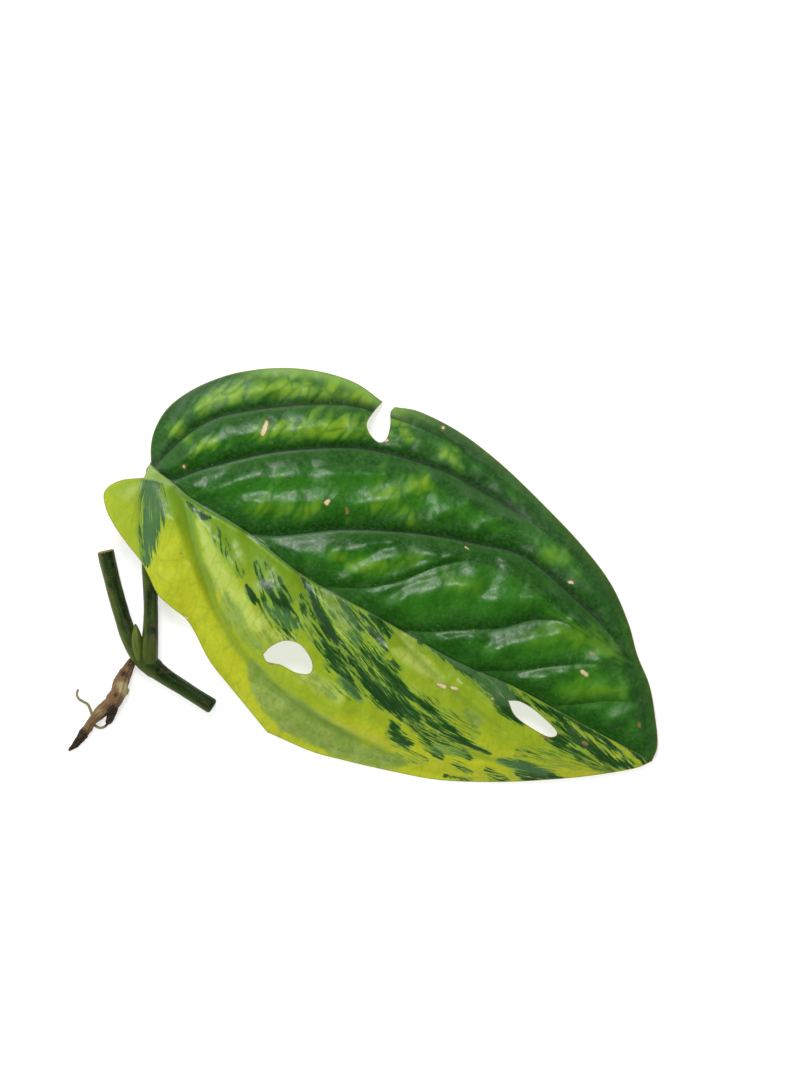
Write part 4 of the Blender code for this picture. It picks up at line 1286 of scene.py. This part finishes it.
def keep_skin(mesh, lines):
    """Stores how far along the nearest line each point lies, and its offset from that line."""
    places = from_base(mesh)
    best = np.full(len(places), np.inf)
    skin = np.zeros((len(places), 3))
    for line in lines:
        travelled = travelled_along(line[:, :3])
        _, sideways, ups = carried_frames(line[:, :3])
        for number, station in enumerate(line):
            gap = np.linalg.norm(places - station[:3], axis=1)
            closer = gap < best
            offset = places[closer] - station[:3]
            run = np.cross(ups[number], sideways[number])
            along = travelled[number] + offset @ run
            skin[closer] = np.column_stack([along, offset @ sideways[number], offset @ ups[number]])
            best[closer] = gap[closer]
    store(mesh, "skin", skin)


def rough_skin(along, around, stretch, width, seed):
    """Streaky unevenness of a tube's skin, from about minus one to one."""
    values = np.empty(len(along))
    for number, (s, a) in enumerate(zip(along, around)):
        spot = (s / stretch, math.cos(a) * width, math.sin(a) * width + seed)
        values[number] = noise.fractal(Vector(spot), 0.9, 2.0, 3)
    return values


def lying(line, lift=0.0):
    """A line of (x, y, radius) laid on the surface, so that its height is its radius."""
    return [(x, y, radius + lift, radius) for x, y, radius in line]


def stem_finish(settings, name, reflection_side=1.0):
    """Green skin with darker streaks, a lighter flank that is a painted reflection, brownish tinges
    and fine lenticels.
    """
    finish = Finish(name, 0.46, 0.22)
    streaks = finish.grain(finish.stored_vector("skin", (0.16, 1.4, 1.4)))
    clouds = finish.grain(finish.stored_vector("skin", (0.16, 0.35, 0.35)), 2.0)
    tinge = finish.grain(finish.stored_vector("skin", (0.3, 0.4, 0.4)), 2.0, scale=1.2)
    fine = finish.grain(finish.stored_vector("skin", (3.0, 9.0, 9.0)), rough=0.6)
    pores = finish.cells(finish.stored_vector("skin", (0.9, 2.4, 2.4)))
    # Painted reflection: one flank lighter, on the side that the sign gives
    sideways = finish.times(finish.parts("skin")[1], reflection_side)
    flank = finish.sum(sideways, finish.swing(clouds, 1.6))
    colour = finish.coated(
        settings.shade,
        (finish.rise(streaks, 0.3, 0.7), settings.skin),
        (finish.rise(clouds, 0.52, 0.75, 0.0, 0.2), settings.olive),
        (finish.rise(flank, 0.3, 1.7, 0.0, 0.4), settings.olive),
        (finish.rise(tinge, 0.54, 0.72, 0.0, 0.6), settings.tinge),
        (finish.rise(pores, 0.06, 0.16, 0.6, 0.0), settings.lenticels),
    )
    return finish, colour, streaks, fine


def stem_surface(finish, colour, streaks, fine, relief, rough=(0.4, 0.56)):
    """Gives a stem finish its colour, gloss and relief, and hands over its material."""
    finish.colour(colour)
    finish.roughness(finish.rise(fine, 0.2, 0.8, *rough))
    finish.bump(fine, STEM_DEPTH, 0.6, finish.bump(streaks, relief, 0.5))
    return finish.material


class CUTTING_OT_stem(Operator):
    """Makes the short length of vine with its node and its two cut ends"""
    bl_idname = "cutting.stem"
    bl_label = "Stem"

    def execute(self, context):
        settings = context.scene.cutting_stalk
        line = through(lying(STEM_LINE), STALK_STEP)
        stations = ended(line, CUT_END, WORN_END)
        stem = swept("vine_stem", stations, settings.sides, self.relief)
        keep_skin(stem.data, [line])
        places = from_base(stem.data)
        past = []
        for end, before in ((line[0], line[2]), (line[-1], line[-3])):
            out = (end - before)[:3]
            past.append((places - end[:3]) @ (out / np.linalg.norm(out)))
        store(stem.data, "cut", np.maximum(*past))
        store(stem.data, "upper_cut", past[0])
        dressed(stem, "stem", self.skin(settings))
        return {"FINISHED"}

    def relief(self, along, around):
        """Low ridges along the vine, the scar rings of its node and a little unevenness."""
        ridges = 0.014 * np.cos(9 * around + 0.05 * along)
        past_node = along - NODE_ALONG
        rings = 0.1 * bell(past_node + 2.2, 0.7) - 0.08 * bell(past_node + 1.2, 0.5)
        rings += 0.07 * bell(past_node - 2.6, 0.8) - 0.06 * bell(past_node - 3.6, 0.5)
        return ridges + rings + 0.08 * rough_skin(along, around, 4.5, 0.9, 4.0)

    def skin(self, settings):
        """Stem skin, dark at both ends, with fibre bundles in its dried upper cut."""
        finish, colour, streaks, fine = stem_finish(settings, "stem skin")
        cut, upper_cut = (finish.frayed(name, (fine, 0.3)) for name in ("cut", "upper_cut"))
        flat = finish.stored_vector("skin", (0.0, 1.0, 1.0))
        inwards = finish.node("ShaderNodeVectorMath", {"operation": "LENGTH"}, {0: flat})
        bundles = finish.cells(finish.stored_vector("skin", (0.1, 2.2, 2.2)))
        face = finish.coated(
            settings.callus,
            (finish.rise(bundles, 0.16, 0.3, 0.6, 0.0), settings.bundles),
            (finish.rise(inwards.outputs["Value"], 1.35, 1.85, 0.0, 0.8), settings.cut_rim),
        )
        colour = finish.coated(
            colour,
            (finish.rise(cut, 0.1, 0.3), settings.cut_edge),
            (finish.rise(upper_cut, -0.15, 0.12), face),
        )
        return stem_surface(finish, colour, streaks, fine, 0.00008)


class CUTTING_OT_petiole(Operator):
    """Makes the leaf stalk, from its clasping base to the knee under the leaf"""
    bl_idname = "cutting.petiole"
    bl_label = "Petiole"

    def execute(self, context):
        settings = context.scene.cutting_stalk
        x, y, z = KNEE_CENTRE
        knee = []
        for turn in np.radians(KNEE_TURNS):
            place = (x, y + KNEE_RADIUS * math.cos(turn), z + KNEE_RADIUS * math.sin(turn))
            knee.append((*place, KNEE_TUBE_RADIUS))
        knee.append((x, y + KNEE_RADIUS, KNEE_TOP, KNEE_TUBE_RADIUS))
        line = through(PETIOLE_LINE + knee, STALK_STEP)
        petiole = swept("leaf_stalk", ended(line, BLIND_END, POINT_END), settings.sides, self.relief)
        keep_skin(petiole.data, [line])
        dressed(petiole, "petiole", self.skin(settings))
        return {"FINISHED"}

    def relief(self, along, around):
        """A shallow channel between two low wings on the upper side, and creases at the knee."""
        top = wrapped(around - math.pi / 2)
        fade = np.interp(along, [0, 4, 34, 40], [0.4, 1.0, 1.0, 0.0])
        channel = -0.3 * bell(top, 0.42) * fade
        wings = 0.16 * (bell(top - 0.72, 0.2) + bell(top + 0.72, 0.2)) * fade
        knee = 0.12 * bell(along - 43.0, 2.4)
        creases = -0.07 * np.cos(math.tau * along / 0.85) * bell(along - 43.4, 1.9)
        return channel + wings + knee + creases + 0.07 * rough_skin(along, around, 4.0, 1.2, 7.0)

    def skin(self, settings):
        """Stem skin, olive at its foot and lighter towards the knee."""
        # The painted reflection lies on the other flank of the stalk
        finish, colour, streaks, fine = stem_finish(settings, "stalk skin", -1.0)
        along = finish.parts("skin")[0]
        colour = finish.coated(
            colour,
            (finish.rise(along, 3.0, 9.0, 0.35, 0.0), settings.olive),
            (finish.rise(along, 17.0, 30.0, 0.0, 0.55), settings.upper_stalk),
            (finish.rise(along, 40.0, 45.0), settings.knee),
        )
        return stem_surface(finish, colour, streaks, fine, 0.0001)


class CUTTING_OT_axillary_bud(Operator):
    """Makes the bud in the axil of the leaf, drawn out to a point"""
    bl_idname = "cutting.axillary_bud"
    bl_label = "Axillary Bud"

    def execute(self, context):
        settings = context.scene.cutting_stalk
        deselect()
        bpy.ops.mesh.primitive_uv_sphere_add(segments=64, ring_count=48, radius=1.0)
        bud = bpy.context.object
        bud.name = "bud"
        ball = points_of(bud.data)
        x, y, z = ball.T
        around = np.arctan2(y, x)
        narrowing = 1 - 0.45 * np.maximum(0.0, z) ** 2
        seam = 1 - 0.13 * bell(wrapped(around - 2.0 - 0.5 * z), 0.16) * (1 - z**2)
        keel = 1 + 0.05 * bell(wrapped(around - 1.1), 0.3) * (1 - z**2)
        swell = narrowing * seam * keel
        wide, high = x * swell * BUD_HALF_SIZE[0], y * swell * BUD_HALF_SIZE[2]
        cos, sin = math.cos(BUD_LEAN), math.sin(BUD_LEAN)
        plan = np.column_stack([wide, z * BUD_HALF_SIZE[1]]) @ np.array([[cos, sin], [-sin, cos]])
        places = np.column_stack([plan, high]) + BUD_CENTRE
        set_points(bud.data, to_world(places))
        store(bud.data, "skin", np.column_stack([z * BUD_HALF_SIZE[1], wide, high]))
        store(bud.data, "seam", 1 - seam)
        cleaned(bud)
        dressed(bud, "axillary_bud", self.skin(settings))
        return {"FINISHED"}

    def skin(self, settings):
        """Stem skin under an olive sheath, darker at the tip and in the seam, and darker on one flank
        as painted shade.
        """
        finish, colour, streaks, fine = stem_finish(settings, "bud skin")
        along, across, _ = finish.parts("skin")
        colour = finish.coated(
            colour,
            (finish.rise(streaks, 0.25, 0.7, 0.65, 0.95), settings.olive),
            (finish.rise(along, 2.6, 4.7, 0.0, 0.45), settings.skin),
            # Painted shade: one flank of the bud darker
            (finish.rise(across, -0.2, 1.2, 0.0, 0.75), settings.skin),
            (finish.rise(finish.stored("seam"), 0.03, 0.12, 0.0, 0.25), settings.shade),
        )
        return stem_surface(finish, colour, streaks, fine, 0.00018, (0.38, 0.55))


class CUTTING_OT_aerial_root(Operator):
    """Makes the branched aerial root with its bump and two thin rootlets"""
    bl_idname = "cutting.aerial_root"
    bl_label = "Aerial Root"

    def execute(self, context):
        settings = context.scene.cutting_root
        line = through(lying(ROOT_LINE), ROOT_STEP)
        lines = [line]
        root = swept("air_root", ended(line, POINT_END, POINT_END), settings.sides, self.bark)
        for branch in (SIDE_ROOT_LINE, ROOT_BUMP_LINE, LOOP_ROOTLET_LINE, CURLED_ROOTLET_LINE):
            path = through(lying(branch, BRANCH_LIFT), ROOT_STEP)
            thick = branch[0][2] > 0.6
            sides = settings.sides // (2 if thick else 4)
            relief = self.branch_bark if thick else self.smooth_bark
            shoot = swept("shoot", ended(path, POINT_END, POINT_END), sides, relief)
            combined(root, shoot, "UNION")
            lines.append(path)
        keep_skin(root.data, lines)
        self.keep_tone(root.data, lines)
        dressed(root, "aerial_root", self.skin(settings), 60.0)
        return {"FINISHED"}

    def bark(self, along, around):
        """Shrunken, lengthwise wrinkles with a few lumps."""
        wrinkles = 0.1 * np.cos(7 * around + 1.2 * np.sin(along / 3.0))
        wrinkles += 0.06 * np.cos(12 * around - along / 2.5)
        return wrinkles - 0.06 + 0.24 * rough_skin(along, around, 1.9, 1.3, 2.0)

    def branch_bark(self, along, around):
        """The same on a thinner branch."""
        return 0.08 * np.cos(6 * around + along) + 0.16 * rough_skin(along, around, 1.2, 1.2, 5.0)

    def smooth_bark(self, along, around):
        """A little unevenness, for the rootlets."""
        return 0.04 * rough_skin(along, around, 0.8, 0.8, 8.0)

    def keep_tone(self, mesh, lines):
        """Stores where the root is dark or pale, below or above zero, and where it is a rootlet."""
        places = from_base(mesh)[:, :2]
        gaps = [distance_to(line[:, :2], places)[0] for line in lines]
        thick, thin = np.min(gaps[:3], axis=0), np.min(gaps[3:], axis=0)
        store(mesh, "thread", np.clip((thick - 0.9) / 0.5, 0, 1) * (thin < 0.7))
        tones = [
            weight * bell(np.linalg.norm(places - place, axis=1), reach)
            for place, reach, weight in ROOT_TONES
        ]
        store(mesh, "tone", np.sum(tones, axis=0))

    def skin(self, settings):
        """Fibrous bark, paler and darker by place."""
        finish = Finish("root bark", 0.78, 0.3)
        streaks = finish.grain(finish.stored_vector("skin", (0.5, 3.0, 3.0)), 5.0, 0.65)
        fine = finish.grain(finish.place(FINE_SCALE), 4.0, 0.65)
        tone = finish.frayed("tone", (streaks, 2.2))
        finish.colour(finish.coated(
            settings.bark,
            (finish.rise(tone, 0.0, 0.9), settings.tan),
            (finish.rise(tone, -0.15, -0.9), settings.dark),
            (finish.times(finish.stored("thread"), 0.75), settings.thread),
            (finish.rise(fine, 0.5, 0.75, 0.0, 0.3), settings.flecks),
        ))
        finish.roughness(finish.rise(fine, 0.2, 0.8, 0.68, 0.9))
        finish.bump(fine, BARK_DEPTH, 0.7, finish.bump(streaks, BARK_STREAK_DEPTH, 0.7))
        return finish.material


class VIEW3D_PT_cutting(Panel):
    """Lists the pieces and the settings that they are made from"""
    bl_label = "Monstera Cutting"
    bl_space_type = "VIEW_3D"
    bl_region_type = "UI"
    bl_category = "Cutting"

    def draw(self, context):
        for title, settings, operators in (
            ("Leaf", context.scene.cutting_leaf, LEAF_OPERATORS),
            ("Stalk and stem", context.scene.cutting_stalk, STALK_OPERATORS),
            ("Root", context.scene.cutting_root, ROOT_OPERATORS),
            ("Stage", context.scene.cutting_stage, STAGE_OPERATORS),
        ):
            box = self.layout.box()
            box.label(text=title)
            for name in settings.__annotations__:
                box.prop(settings, name)
            for operator in operators:
                box.operator(operator.bl_idname)


LEAF_OPERATORS = (CUTTING_OT_leaf_blade,)
STALK_OPERATORS = (CUTTING_OT_petiole, CUTTING_OT_stem, CUTTING_OT_axillary_bud)
ROOT_OPERATORS = (CUTTING_OT_aerial_root,)
STAGE_OPERATORS = (CUTTING_OT_stage,)
SETTINGS = {
    "cutting_leaf": LeafSettings,
    "cutting_stalk": StalkSettings,
    "cutting_root": RootSettings,
    "cutting_stage": StageSettings,
}
CLASSES = (
    *SETTINGS.values(), *STAGE_OPERATORS, *LEAF_OPERATORS, *STALK_OPERATORS, *ROOT_OPERATORS,
    VIEW3D_PT_cutting,
)


def register():
    for item in CLASSES:
        bpy.utils.register_class(item)
    for name, settings in SETTINGS.items():
        setattr(bpy.types.Scene, name, PointerProperty(type=settings))


def unregister():
    for name in SETTINGS:
        delattr(bpy.types.Scene, name)
    for item in reversed(CLASSES):
        bpy.utils.unregister_class(item)


def main():
    register()
    bpy.ops.cutting.stage()
    bpy.ops.cutting.leaf_blade()
    bpy.ops.cutting.petiole()
    bpy.ops.cutting.stem()
    bpy.ops.cutting.axillary_bud()
    bpy.ops.cutting.aerial_root()


if __name__ == "__main__":
    main()
